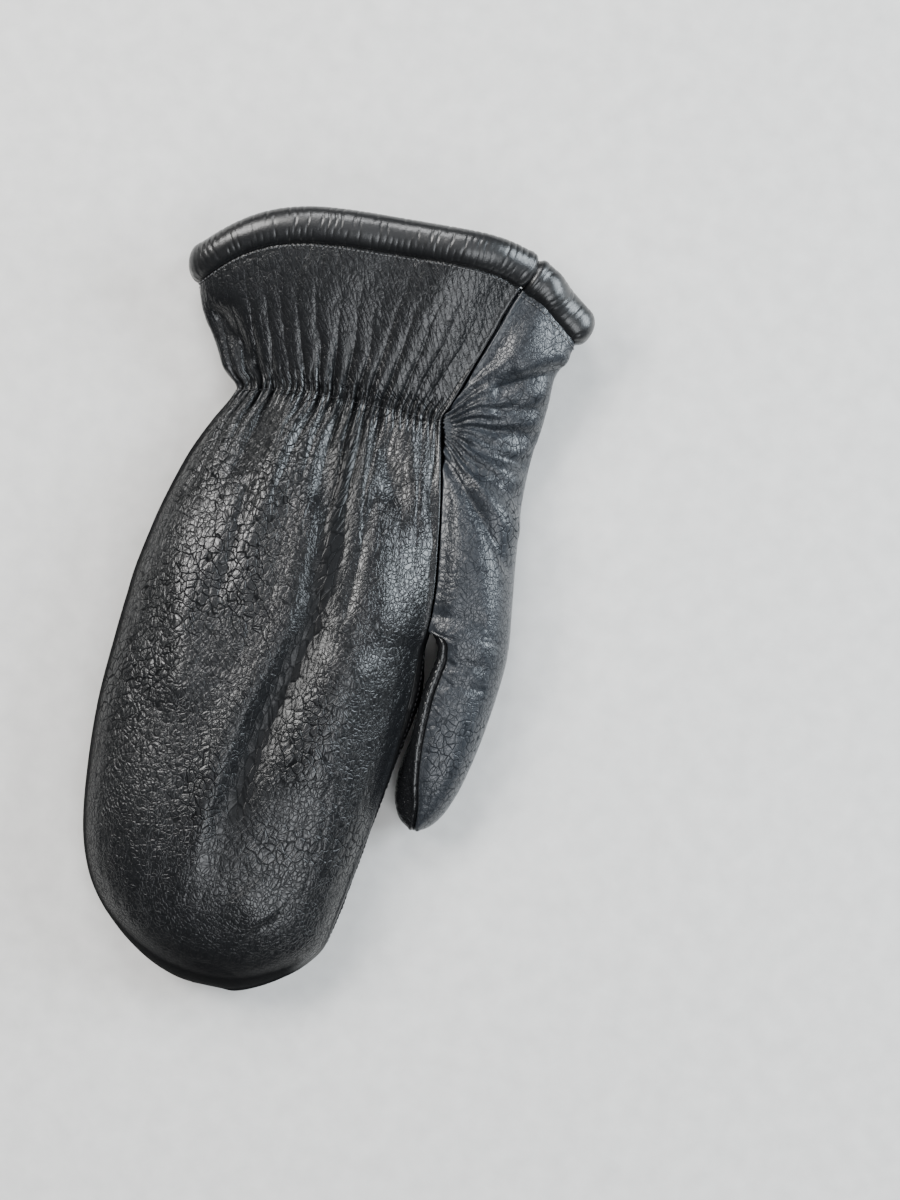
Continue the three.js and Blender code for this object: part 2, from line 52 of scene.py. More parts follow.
Columns = dict[str, np.ndarray]
Keys = list[tuple[np.ndarray, np.ndarray, np.ndarray | float]]

MM = 0.001
CIRCLE_HANDLE = 0.5523
BEZIER_STEPS = 24
# stitched lines: the rim's and the two side seams' distances from their edges, and the
# stretch of the hand that the side seams' stitches follow
RIM_LINE, PALM_LINE, THUMB_LINE = 1.9, 1.5, 1.3
LINE_START, LINE_END = -92.0, 30.0


class Slot(Enum):
    """The record's material slots."""

    BACK = "back_leather"
    PALM = "palm_leather"
    THUMB = "thumb_leather"
    ROLL = "roll_leather"


def mix(a: np.ndarray, b: np.ndarray, t: np.ndarray) -> np.ndarray:
    """Straight blend from a to b: a + (b - a) t."""
    return a + (b - a) * t


def smooth(t: np.ndarray) -> np.ndarray:
    """Smooth step from 0 to 1: 3 t^2 - 2 t^3 on t held between 0 and 1."""
    t = np.clip(t, 0.0, 1.0)
    return t * t * (3.0 - 2.0 * t)


def bell(distance: np.ndarray, width: float | np.ndarray) -> np.ndarray:
    """A bell of height 1: exp(-(distance / width)^2)."""
    return np.exp(-((distance / width) ** 2))


def unit(vectors: np.ndarray) -> np.ndarray:
    """Vectors divided by their length along the last axis."""
    return vectors / np.maximum(np.linalg.norm(vectors, axis=-1, keepdims=True), 1e-9)


def travelled(points: np.ndarray) -> np.ndarray:
    """Distance along a line of points: the sum of the steps up to each."""
    return np.concatenate([[0.0], np.cumsum(np.linalg.norm(np.diff(points, axis=0), axis=-1))])


def read_line(spots: np.ndarray, run: np.ndarray, values: np.ndarray) -> np.ndarray:
    """Rows of values along a line, read straight between its points.

    Args:
        spots: distances along the line.
        run: the points' own distances.
        values: one row for each point.

    Returns:
        One row for each spot.
    """
    return np.stack([np.interp(spots, run, column) for column in values.T], -1)


# Noise and cells, for wrinkles and grain

@dataclass(frozen=True)
class Noise:
    """Smooth random heights on a lattice, repeated every `size` steps.

    Attributes:
        seed: seed of the lattice's random numbers.
        size: lattice steps before the pattern repeats.
    """

    seed: int
    size: int = 256

    def lattice(self) -> np.ndarray:
        """The lattice's random heights, from -1 to 1."""
        return np.random.default_rng(self.seed).uniform(-1.0, 1.0, (self.size, self.size))

    def at(self, u: np.ndarray, v: np.ndarray) -> np.ndarray:
        """Heights at u and v: a smooth-step blend of the four nearest lattice heights.

        Args:
            u: first coordinate, in lattice steps.
            v: second coordinate, in lattice steps.

        Returns:
            Heights from -1 to 1, in the shape of u.
        """
        grid = self.lattice()
        iu, iv = np.floor(u).astype(int), np.floor(v).astype(int)
        fu, fv = smooth(u - iu), smooth(v - iv)
        a0, a1 = iu % self.size, (iu + 1) % self.size
        b0, b1 = iv % self.size, (iv + 1) % self.size
        low = mix(grid[a0, b0], grid[a1, b0], fu)
        high = mix(grid[a0, b1], grid[a1, b1], fu)
        return mix(low, high, fv)

    def layered(self, u: np.ndarray, v: np.ndarray, layers: int = 3) -> np.ndarray:
        """A sum of ever finer noises: each layer doubles the steps and halves the height.

        Args:
            u: first coordinate, in lattice steps of the first layer.
            v: second coordinate.
            layers: how many noises are added.

        Returns:
            Heights of about -1 to 1.
        """
        total = np.zeros_like(u)
        for layer in range(layers):
            scale = 2.0 ** layer
            total = total + self.at(u * scale + 17.3 * layer, v * scale - 9.1 * layer) / scale
        return total / 1.6


@dataclass(frozen=True)
class Cells:
    """Irregular cells round scattered points, one point to each square of a grid.

    Attributes:
        seed: seed of the points' places.
        size: squares before the pattern repeats.
    """

    seed: int
    size: int = 128

    def edge_distance(self, u: np.ndarray, v: np.ndarray) -> np.ndarray:
        """How far a place is from its cell's edge: the second nearest point's distance less
        the nearest one's, over the 3 by 3 squares round it.

        Args:
            u: first coordinate, in cells.
            v: second coordinate, in cells.

        Returns:
            Distances from 0, on an edge, to about 1, at a cell's middle.
        """
        points = np.random.default_rng(self.seed).uniform(0.1, 0.9, (self.size, self.size, 2))
        iu, iv = np.floor(u).astype(int), np.floor(v).astype(int)
        near, second = np.full(u.shape, np.inf), np.full(u.shape, np.inf)
        for du in (-1, 0, 1):
            for dv in (-1, 0, 1):
                spot = points[(iu + du) % self.size, (iv + dv) % self.size]
                gap = np.hypot(iu + du + spot[..., 0] - u, iv + dv + spot[..., 1] - v)
                second = np.minimum(second, np.maximum(near, gap))
                near = np.minimum(near, gap)
        return second - near


@dataclass(frozen=True)
class Swell:
    """Soft random swellings of the leather.

    Attributes:
        seed: seed of the pattern.
        across: their size across.
        along: their size along.
        height: their height.
        layers: how many ever finer layers they have.
    """

    seed: int
    across: float
    along: float
    height: float
    layers: int = 3

    def at(self, u: np.ndarray, v: np.ndarray) -> np.ndarray:
        """Heights: layered noise on u / across and v / along, times height."""
        noise = Noise(self.seed).layered(u / self.across, v / self.along, self.layers)
        return self.height * noise


@dataclass(frozen=True)
class Wrinkles:
    """Small wrinkles of worn leather, drawn out one way.

    Attributes:
        seed: seed of the pattern.
        cell: the wrinkles' spacing across.
        stretch: how many times longer they are along.
        height: their height.
    """

    seed: int
    cell: float
    stretch: float
    height: float

    BEND = 0.8
    CREASE = 0.35

    def at(self, u: np.ndarray, v: np.ndarray) -> np.ndarray:
        """Heights: a net of cells pulled along v, bent by noise, pillowed between its creases.

        Args:
            u: distance across.
            v: distance along.

        Returns:
            Heights, from minus height in a crease to 0.
        """
        bend, reach = Noise(self.seed + 1), self.BEND * self.cell
        bent_u = u + reach * bend.at(u / self.cell / 2.2, v / self.cell / 3.0)
        bent_v = v + reach * bend.at(u / self.cell / 2.7 + 50, v / self.cell / 2.4)
        edge = Cells(self.seed).edge_distance(bent_u / self.cell,
                                              bent_v / self.cell / self.stretch)
        return self.height * (smooth(edge / self.CREASE) - 1.0)


# The mitten's form: sections joined by smooth lines

@dataclass(frozen=True)
class Sections:
    """A table of cross-sections, read at any place between its rows.

    Attributes:
        columns: the columns' names.
        rows: one row for each section, lengths in millimetres.
    """

    columns: tuple[str, ...]
    rows: np.ndarray

    FINE_COUNT = 2001

    def at(self, index: np.ndarray) -> Columns:
        """Every column at fractional row indices: a Catmull-Rom curve through the rows.

        Args:
            index: row indices.

        Returns:
            One array for each column, as long as index, and the index itself.
        """
        last = len(self.rows) - 1
        low = np.clip(np.floor(index).astype(int), 0, last - 1)
        t = (index - low)[:, None]
        a = self.rows[np.maximum(low - 1, 0)]
        b = self.rows[low]
        c = self.rows[low + 1]
        d = self.rows[np.minimum(low + 2, last)]
        values = 0.5 * (2 * b + (c - a) * t + (2 * a - 5 * b + 4 * c - d) * t ** 2
                        + (3 * b - a - 3 * c + d) * t ** 3)
        return {"index": index} | {name: values[:, i] for i, name in enumerate(self.columns)}

    def even_indices(self, start: float, end: float, count: int, *lengths: str) -> np.ndarray:
        """Row indices at equal steps of the length that the named columns travel.

        Args:
            start: first index.
            end: last index.
            count: how many indices.
            lengths: the columns whose changes make up the length.

        Returns:
            The indices, first and last included.
        """
        fine = np.linspace(start, end, self.FINE_COUNT)
        read = self.at(fine)
        steps = sum(np.diff(read[name]) ** 2 for name in lengths)
        run = np.concatenate([[0.0], np.cumsum(np.sqrt(steps) + 1e-6)])
        return np.interp(np.linspace(0.0, run[-1], count), run, fine)


def section_lines(keys: Keys, shares: np.ndarray) -> np.ndarray:
    """Smooth lines through key points, one line for each section.

    Each stretch between two keys is a cubic whose handles lie along the keys' angles and are
    CIRCLE_HANDLE times the stretch's reach that way, which is a circle on a quarter turn. The
    points lie at the given shares of each line's length.

    Args:
        keys: x, z and angle in degrees of each key point, arrays over the sections.
        shares: shares of the line's length, from 0 to 1.

    Returns:
        x and z, as an array of sections by shares by 2.
    """
    t = np.linspace(0.0, 1.0, BEZIER_STEPS + 1)[None, :, None]
    pieces = []
    for (x0, z0, a0), (x1, z1, a1) in zip(keys[:-1], keys[1:]):
        start, end = np.stack([x0, z0], -1), np.stack([x1, z1], -1)
        handles = []
        for angle in (a0, a1):
            way = np.stack([np.cos(np.radians(angle)), np.sin(np.radians(angle))], -1)
            reach = CIRCLE_HANDLE * np.sum(np.abs(way * (end - start)), -1, keepdims=True)
            handles.append(way * reach)
        p0, p1 = start[:, None], (start + handles[0])[:, None]
        p2, p3 = (end - handles[1])[:, None], end[:, None]
        piece = ((1 - t) ** 3 * p0 + 3 * (1 - t) ** 2 * t * p1 + 3 * (1 - t) * t ** 2 * p2
                 + t ** 3 * p3)
        pieces.append(piece if not pieces else piece[:, 1:])
    line = np.concatenate(pieces, 1)
    steps = np.linalg.norm(np.diff(line, axis=1), axis=-1)
    length = np.concatenate([np.zeros((len(line), 1)), np.cumsum(steps + 1e-7, 1)], 1)
    length /= length[:, -1:]
    return np.stack([read_line(shares, *row) for row in zip(length, line)])


@dataclass
class MittenForm:
    """The mitten's driving sizes and sections, from the same values as its solids.

    Attributes:
        hand_length: from the fingertip to the gathered wrist.
        hand_width: across the hand.
        hand_height: over the hand, lying flat.
        wrist_at: the wrist's place along Y.
        cuff_length: from the wrist to the rim at its sides.
        cuff_width: across the cuff's opening.
        cuff_height: over the cuff.
        cuff_arch: how far the back's rim reaches past its sides.
        cuff_lean: how far the rim's thumb side reaches past its middle.
        thumb_length: from the crotch to the thumb's tip.
        thumb_width: across the thumb.
        thumb_height: over the thumb.
        wall: the leather and its lining.
        web_width: width of the web's foot between hand and thumb.
        arch_power: how flat the rim's arch is at its middle.
        arch_below: the underside's share of the arch.
        web_slope: slope of the web's sides at its foot, in degrees.
        web_run: length over which the palm turns upright below the crotch.
        palm_slope: steepest slope of the palm at the back's seam.
        foot_turn: the underside's flat end beside its seam.
        crotch_spread: width of the thumb's section at the crotch, in thumb widths.
        crotch_turn: the inner leather's angle there.
        trunk: the sections of hand and cuff.
        thumb: the thumb's sections.
    """

    hand_length: float = 207.4
    hand_width: float = 107.0
    hand_height: float = 40.0
    wrist_at: float = 105.0
    cuff_length: float = 37.0
    cuff_width: float = 136.0
    cuff_height: float = 41.0
    cuff_arch: float = 19.0
    cuff_lean: float = 3.0
    thumb_length: float = 70.2
    thumb_width: float = 29.0
    thumb_height: float = 30.0
    wall: float = 2.2
    web_width: float = 4.0
    arch_power: float = 4.0
    arch_below: float = 0.35
    web_slope: float = 50.0
    web_run: float = 24.0
    palm_slope: float = -74.0
    foot_turn: float = 8.0
    crotch_spread: float = 0.085
    crotch_turn: float = 292.0
    trunk: Sections = field(init=False)
    thumb: Sections = field(init=False)

    CROTCH = 12
    WEB_FOOT = 13
    WRIST = 17
    RIM = 22
    THUMB_TIP = 9

    # at, left, seam, crown's place, crown, side, seam's height, slope, floor, two turns, arch
    HAND = (
        (0.000, -0.012, 0.085, 0.50, 0.300, 0.300, 0.300, -90, 0.300, 0.019, 0.019, 0),
        (0.007, -0.079, 0.143, 0.50, 0.463, 0.310, 0.310, -90, 0.155, 0.056, 0.056, 0),
        (0.021, -0.151, 0.203, 0.50, 0.588, 0.325, 0.325, -90, 0.075, 0.084, 0.084, 0),
        (0.041, -0.219, 0.264, 0.49, 0.688, 0.338, 0.350, -88, 0.025, 0.103, 0.103, 0),
        (0.069, -0.290, 0.329, 0.48, 0.787, 0.350, 0.388, -86, 0.000, 0.112, 0.112, 0),
        (0.108, -0.364, 0.384, 0.47, 0.875, 0.375, 0.438, -82, 0.000, 0.121, 0.112, 0),
        (0.156, -0.423, 0.404, 0.46, 0.938, 0.388, 0.475, -78, 0.000, 0.121, 0.112, 0),
        (0.224, -0.467, 0.427, 0.46, 0.982, 0.400, 0.500, -74, 0.000, 0.121, 0.112, 0),
        (0.320, -0.493, 0.452, 0.45, 1.000, 0.400, 0.500, -72, 0.000, 0.121, 0.112, 0),
        (0.436, -0.505, 0.480, 0.45, 1.000, 0.400, 0.512, -70, 0.000, 0.121, 0.103, 0),
        (0.552, -0.495, 0.493, 0.45, 1.000, 0.400, 0.537, -66, 0.000, 0.121, 0.093, 0),
        (0.629, -0.484, 0.494, 0.45, 0.990, 0.400, 0.588, -58, 0.000, 0.121, 0.075, 0),
        (0.670, -0.477, 0.506, 0.45, 0.980, 0.400, 0.637, -48, 0.000, 0.121, 0.056, 0),
        (0.728, -0.458, 0.505, 0.45, 0.960, 0.395, 0.675, -36, 0.000, 0.112, 0.047, 0),
        (0.793, -0.432, 0.490, 0.45, 0.925, 0.385, 0.680, -28, 0.000, 0.112, 0.047, 0),
        (0.879, -0.384, 0.463, 0.46, 0.838, 0.365, 0.650, -20, 0.015, 0.103, 0.047, 0),
        (0.942, -0.331, 0.435, 0.47, 0.740, 0.345, 0.605, -14, 0.045, 0.093, 0.047, 0.10),
        (1.000, -0.275, 0.408, 0.48, 0.675, 0.335, 0.565, -12, 0.075, 0.084, 0.047, 0.22),
    )
    # the same without the thumb side's turn, and the lean
    CUFF = (
        (0.151, -0.249, 0.340, 0.49, 0.698, 0.356, 0.585, -14, 0.078, 0.066, 0.30, 0.05),
        (0.416, -0.291, 0.375, 0.50, 0.780, 0.415, 0.668, -18, 0.083, 0.074, 0.50, 0.25),
        (0.676, -0.334, 0.410, 0.51, 0.868, 0.473, 0.746, -23, 0.083, 0.081, 0.75, 0.60),
        (0.854, -0.352, 0.432, 0.52, 0.922, 0.507, 0.790, -27, 0.083, 0.081, 0.92, 0.85),
        (1.000, -0.362, 0.451, 0.52, 0.951, 0.532, 0.815, -30, 0.083, 0.088, 1.00, 1.00),
    )
    # gusset: top's place, top, its slope, rise from the seam, right, its height, foot
    GUSSET_HAND = (
        (0.636, 0.762, 0, 40, 0.778, 0.350, 0.575),
        (0.631, 0.782, 0, 42, 0.764, 0.350, 0.575),
        (0.621, 0.782, -4, 40, 0.748, 0.350, 0.560),
        (0.598, 0.740, -6, 36, 0.728, 0.335, 0.533),
        (0.579, 0.685, -8, 32, 0.721, 0.325, 0.523),
        (0.565, 0.640, -10, 28, 0.724, 0.325, 0.514),
    )
    GUSSET_CUFF = (
        (0.457, 0.659, -12, 26, 0.576, 0.346, 0.408),
        (0.482, 0.717, -18, 18, 0.582, 0.400, 0.419),
        (0.512, 0.746, -26, 4, 0.584, 0.454, 0.430),
        (0.531, 0.732, -34, -12, 0.603, 0.493, 0.441),
        (0.540, 0.717, -40, -22, 0.615, 0.517, 0.456),
    )
    # thumb: at, seam, its height, rise, top's place, top, right, its height, foot, floor,
    # left, its height
    THUMB = (
        (0.028, 0.224, 0.953, 34, 0.531, 1.013, 1.007, 0.467, 0.250, 0.000, 0.120, 0.400),
        (0.123, 0.279, 0.927, 36, 0.566, 0.987, 1.010, 0.467, 0.350, 0.000, 0.238, 0.400),
        (0.322, 0.224, 0.880, 38, 0.531, 0.947, 0.969, 0.450, 0.362, 0.000, 0.148, 0.400),
        (0.550, 0.210, 0.840, 40, 0.497, 0.907, 0.890, 0.433, 0.321, 0.000, 0.072, 0.400),
        (0.735, 0.252, 0.787, 38, 0.479, 0.847, 0.790, 0.417, 0.293, 0.000, 0.003, 0.400),
        (0.863, 0.314, 0.693, 34, 0.445, 0.740, 0.683, 0.400, 0.300, 0.047, 0.028, 0.387),
        (0.942, 0.334, 0.607, 24, 0.400, 0.627, 0.569, 0.387, 0.314, 0.113, 0.107, 0.380),
        (0.986, 0.334, 0.543, 10, 0.360, 0.547, 0.452, 0.380, 0.328, 0.187, 0.217, 0.373),
        (1.000, 0.334, 0.473, 0, 0.334, 0.473, 0.334, 0.373, 0.334, 0.273, 0.334, 0.373),
    )

    def __post_init__(self) -> None:
        """Turn the tables' shares into millimetres and join hand and cuff into one trunk."""
        w, h = self.hand_width, self.hand_height
        hand = np.array(self.HAND) * (self.hand_length, w, w, 1, h, h, h, 1, h, w, w,
                                      self.cuff_arch)
        hand = np.column_stack([hand, np.zeros(len(hand))])
        hand[:, 0] += self.wrist_at - self.hand_length
        w, h = self.cuff_width, self.cuff_height
        cuff = np.array(self.CUFF) * (self.cuff_length, w, w, 1, h, h, h, 1, h, w,
                                      self.cuff_arch, self.cuff_lean)
        cuff = np.insert(cuff, 10, 0.0, axis=1)
        cuff[:, 0] += self.wrist_at
        w, h = self.hand_width, self.hand_height
        low = np.array(self.GUSSET_HAND) * (w, h, 1, 1, w, h, w)
        w, h = self.cuff_width, self.cuff_height
        high = np.array(self.GUSSET_CUFF) * (w, h, 1, 1, w, h, w)
        gusset = np.concatenate([np.repeat(low[:1], self.CROTCH, 0), low, high])
        names = ("y", "left", "seam", "crown_at", "crown", "side", "seam_up", "slope", "floor",
                 "turn_left", "turn_right", "arch", "lean", "top_at", "top", "top_slope",
                 "rise", "right", "right_up", "foot")
        self.trunk = Sections(names, np.column_stack([np.concatenate([hand, cuff]), gusset]))

        crotch = dict(zip(names, self.trunk.rows[self.CROTCH]))
        w, h = self.thumb_width, self.thumb_height
        thumb = np.array(self.THUMB) * (-self.thumb_length, w, h, 1, w, h, w, h, w, h, w, h)
        thumb[:, 0] += crotch["y"]
        for column in (1, 4, 6, 8, 10):
            thumb[:, column] += crotch["seam"]
        thumb = np.column_stack([thumb, thumb[:, 3] + 180.0])
        start = [crotch["y"], crotch["seam"], crotch["seam_up"], crotch["rise"],
                 crotch["top_at"], crotch["top"], crotch["right"], crotch["right_up"],
                 crotch["foot"], 0.0, crotch["seam"] + self.crotch_spread * self.thumb_width,
                 thumb[0, 11], self.crotch_turn]
        self.thumb = Sections(("y", "seam", "seam_up", "rise", "top_at", "top", "right",
                               "right_up", "foot", "floor", "left", "left_up", "turn"),
                              np.vstack([start, thumb]))

    def trunk_indices(self, count: int) -> np.ndarray:
        """Trunk indices from fingertip to rim, at equal steps of the little-finger side."""
        return self.trunk.even_indices(0, self.RIM, count, "y", "left", "arch")

    def trunk_points(self, rows: Columns, line: np.ndarray) -> np.ndarray:
        """Section lines as points in space: the cuff's rows arch over the back and lean.

        y is the row's own y, plus its arch times 1 - |side|^4, weaker below, plus its lean
        times side, where side runs from -1 to 1 across the section.

        Args:
            rows: the trunk's columns at the sections.
            line: x and z of the lines.

        Returns:
            x, y and z of every point.
        """
        x, z = line[..., 0], line[..., 1]
        middle = ((rows["left"] + rows["right"]) / 2)[:, None]
        side = np.clip((x - middle) / (rows["right"][:, None] - middle), -1.0, 1.0)
        rise = np.maximum(rows["crown"] - rows["floor"], self.wall)[:, None]
        up = smooth((z - rows["floor"][:, None]) / rise)
        arch = rows["arch"][:, None] * (1 - np.abs(side) ** self.arch_power)
        y = rows["y"][:, None] + arch * mix(self.arch_below, 1.0, up) + rows["lean"][:, None] * side
        return np.stack([x, y, z], -1)

    def trunk_grid(self, surface: Callable[[Columns], Keys], index: np.ndarray,
                   shares: np.ndarray) -> np.ndarray:
        """Points of a surface of hand and cuff.

        Args:
            surface: gives its key points from the sections.
            index: trunk indices.
            shares: shares of each line's length.

        Returns:
            Points, as sections by shares by 3.
        """
        rows = self.trunk.at(index)
        return self.trunk_points(rows, section_lines(surface(rows), shares))

    def thumb_grid(self, surface: Callable[[Columns], Keys], index: np.ndarray,
                   shares: np.ndarray) -> np.ndarray:
        """Points of a surface of the thumb, each line at its row's y.

        Args:
            surface: gives its key points from the sections.
            index: thumb indices, 0 at the crotch.
            shares: shares of each line's length.

        Returns:
            Points, as sections by shares by 3.
        """
        rows = self.thumb.at(index)
        line = section_lines(surface(rows), shares)
        y = np.broadcast_to(rows["y"][:, None], line.shape[:2])
        return np.stack([line[..., 0], y, line[..., 1]], -1)

    def web_ridge(self, r: Columns) -> tuple[np.ndarray, np.ndarray, np.ndarray]:
        """The web's ridge between hand and thumb.

        Args:
            r: the trunk's columns at the sections.

        Returns:
            x, z and the slope of the groove's sides, in degrees.
        """
        crotch = self.trunk.at(np.array([float(self.CROTCH)]))
        foot = self.trunk.at(np.array([float(self.WEB_FOOT)]))["foot"] - self.web_width
        fall = np.clip((r["index"] - self.CROTCH) / (self.WEB_FOOT - self.CROTCH), 0.0, 1.0)
        return (mix(crotch["seam"], foot, fall ** 2), mix(crotch["seam_up"], r["floor"], fall),
                mix(90.0, self.web_slope, smooth(fall * 2)))

    def back(self, r: Columns) -> Keys:
        """The back of hand and cuff: little-finger side, over the crown, to the thumb-side seam."""
        return [(r["left"], r["side"], 90.0),
                (mix(r["left"], r["seam"], r["crown_at"]), r["crown"], 0.0),
                (r["seam"], r["seam_up"], r["slope"])]

    def palm(self, r: Columns) -> Keys:
        """The palm: little-finger side, under the hand, up to the thumb-side seam or the web.

        Above the web's foot it ends at the underside seam, along the web at the web's ridge,
        and below the crotch at the back's seam.

        Args:
            r: the trunk's columns at the sections.

        Returns:
            Its key points.
        """
        ridge_x, ridge_z, ridge_slope = self.web_ridge(r)
        upright = smooth((self.trunk.rows[self.CROTCH, 0] - r["y"]) / self.web_run)
        rise = mix(90.0, 180.0 + np.minimum(r["slope"], self.palm_slope), upright)
        above, web = r["index"] >= self.WEB_FOOT, r["index"] > self.CROTCH
        end_x = np.where(above, r["foot"], np.where(web, ridge_x, r["seam"]))
        end_z = np.where(above, r["floor"], np.where(web, ridge_z, r["seam_up"]))
        end_angle = np.where(above, 0.0, np.where(web, ridge_slope, rise))
        turn = np.where(above, self.foot_turn, r["turn_right"])
        return [(r["left"], r["side"], -90.0), (r["left"] + r["turn_left"], r["floor"], 0.0),
                (end_x - turn, r["floor"], 0.0), (end_x, end_z, end_angle)]

    def gusset(self, r: Columns) -> Keys:
        """The leather beside the back above the crotch, from its seam round to the underside."""
        return [(r["seam"], r["seam_up"], r["rise"]), (r["top_at"], r["top"], r["top_slope"]),
                (r["right"], r["right_up"], -90.0), (r["foot"], r["floor"], -180.0)]

    def web(self, r: Columns) -> Keys:
        """The thumb's inner leather along the web, from its ridge to the underside seam."""
        x, z, slope = self.web_ridge(r)
        return [(x, z, -slope), (r["foot"], r["floor"], 0.0)]

    def thumb_outer(self, r: Columns) -> Keys:
        """The thumb's outer leather, from its upper seam over the top to the underside."""
        return [(r["seam"], r["seam_up"], r["rise"]), (r["top_at"], r["top"], 0.0),
                (r["right"], r["right_up"], -90.0), (r["foot"], r["floor"], -180.0)]

    def thumb_inner(self, r: Columns) -> Keys:
        """The thumb's inner leather, from its upper seam down the hand's side."""
        return [(r["seam"], r["seam_up"], r["turn"]), (r["left"], r["left_up"], -90.0),
                (r["foot"], r["floor"], 0.0)]


# Leather surfaces

@dataclass
class Sheet:
    """A leather panel's smooth form as a grid, with the measures that its relief follows.

    Attributes:
        points: rows by columns by 3, in millimetres.
        outward: unit vectors away from the leather's inside, at every point.
        across: distance along each row from its first point.
        along: distance along the middle column from the first row, for every point.
    """

    points: np.ndarray
    outward: np.ndarray
    across: np.ndarray
    along: np.ndarray

    RIM_SHARE = 0.02

    @classmethod
    def from_grid(cls, points: np.ndarray, sign: float) -> "Sheet":
        """A sheet from its points; outward is sign times the cross product of the ways across
        and along.

        Args:
            points: rows by columns by 3.
            sign: 1 or -1, which turns the cross product outwards.

        Returns:
            The sheet.
        """
        way_across = np.gradient(points, axis=1)
        way_along = np.gradient(points, axis=0)
        outward = unit(np.cross(way_across, way_along)) * sign
        outward[0] = (0.0, -1.0, 0.0)
        across = np.stack([travelled(row) for row in points])
        run = travelled(points[:, points.shape[1] // 2])
        return cls(points, outward, across, np.broadcast_to(run[:, None], across.shape))

    @property
    def shares(self) -> np.ndarray:
        """Each point's share of its row's length."""
        return self.across / np.maximum(self.across[:, -1:], 1e-6)

    @property
    def from_first_side(self) -> np.ndarray:
        """Distance from the first column's seam."""
        return self.across

    @property
    def from_last_side(self) -> np.ndarray:
        """Distance from the last column's seam."""
        return self.across[:, -1:] - self.across

    def row_before_rim(self, distance: float) -> int:
        """The row nearest to a distance from the last one."""
        return int(np.argmin(np.abs(self.along[-1, 0] - self.along[:, 0] - distance)))

    def rim(self) -> tuple[np.ndarray, np.ndarray, np.ndarray]:
        """The last row's points, the ways out of the cuff there and the outward ways."""
        back = max(2, int(self.RIM_SHARE * len(self.points)))
        return self.points[-1], unit(self.points[-1] - self.points[-1 - back]), self.outward[-2]


@dataclass(frozen=True)
class Fold:
    """A straight fold of the leather, seen from above.

    Attributes:
        start: x and y of its first end.
        end: x and y of its last end.
        width: half its width.
        depth: its height, negative for a valley.
        keen: 2 for a round fold, less for a sharp one.
        end_width: the width at its last end, as a share of its width.
    """

    start: tuple[float, float]
    end: tuple[float, float]
    width: float
    depth: float
    keen: float = 2.0
    end_width: float = 1.0

    def height(self, x: np.ndarray, y: np.ndarray) -> np.ndarray:
        """Height over the smooth form: depth times exp(-(distance / width)^keen), fading out
        past both ends over one width.

        Args:
            x: places across.
            y: places along.

        Returns:
            Heights, in millimetres.
        """
        run = np.subtract(self.end, self.start)
        share = ((x - self.start[0]) * run[0] + (y - self.start[1]) * run[1]) / np.dot(run, run)
        held = np.clip(share, 0.0, 1.0)
        gap = np.hypot(x - self.start[0] - held * run[0], y - self.start[1] - held * run[1])
        width = self.width * mix(1.0, self.end_width, held)
        fade = smooth(np.minimum(share, 1.0 - share) * 4.0 + 0.6)
        return self.depth * np.exp(-((gap / width) ** self.keen)) * mix(0.35, 1.0, fade)


@dataclass(frozen=True)
class Ridge:
    """A long ridge with a wide valley on its right, following a bent course.

    Attributes:
        course: rows of x, y, ridge height and valley depth along it.
        left: half the ridge's width on its left.
        right: half its width on its right.
        offset: distance from the ridge's top to the valley's middle.
        width: half the valley's width.
    """

    course: tuple[tuple[float, float, float, float], ...]
    left: float = 7.0
    right: float = 4.0
    offset: float = 9.5
    width: float = 6.5

    def read(self, x: np.ndarray, y: np.ndarray) -> tuple[np.ndarray, np.ndarray, np.ndarray]:
        """Signed distance to the course, positive on the right, and its two sizes there.

        Args:
            x: places across.
            y: places along.

        Returns:
            The distance to the nearest stretch, and the height and depth at its nearest point.
        """
        best = np.full(x.shape, np.inf)
        side, tall, deep = np.zeros_like(x), np.zeros_like(x), np.zeros_like(x)
        for (x0, y0, h0, d0), (x1, y1, h1, d1) in zip(self.course[:-1], self.course[1:]):
            run = math.hypot(x1 - x0, y1 - y0)
            along = np.clip(((x - x0) * (x1 - x0) + (y - y0) * (y1 - y0)) / run ** 2, 0, 1)
            gap = np.hypot(x - x0 - along * (x1 - x0), y - y0 - along * (y1 - y0))
            turn = (x1 - x0) * (y - y0) - (y1 - y0) * (x - x0)
            nearer = gap < best
            best = np.where(nearer, gap, best)
            side = np.where(nearer, np.sign(turn), side)
            tall = np.where(nearer, mix(h0, h1, along), tall)
            deep = np.where(nearer, mix(d0, d1, along), deep)
        return best * side, tall, deep

    def height(self, x: np.ndarray, y: np.ndarray) -> np.ndarray:
        """Heights: a bell over the course, less a bell beside it."""
        gap, tall, deep = self.read(x, y)
        top = bell(gap, np.where(gap < 0, self.left, self.right))
        return tall * top - deep * bell(gap - self.offset, self.width)

    def valley(self, x: np.ndarray, y: np.ndarray) -> np.ndarray:
        """How much a place lies in the valley, from 0 to 1."""
        gap, _, deep = self.read(x, y)
        return bell(gap - self.offset, self.width) * np.clip(deep, 0, 1)


def creased_wave(turns: np.ndarray) -> np.ndarray:
    """Round ridges with sharp creases between: 1.6 |sin(pi turns)|^0.42 - 1."""
    return 1.6 * np.abs(np.sin(math.pi * turns)) ** 0.42 - 1.0


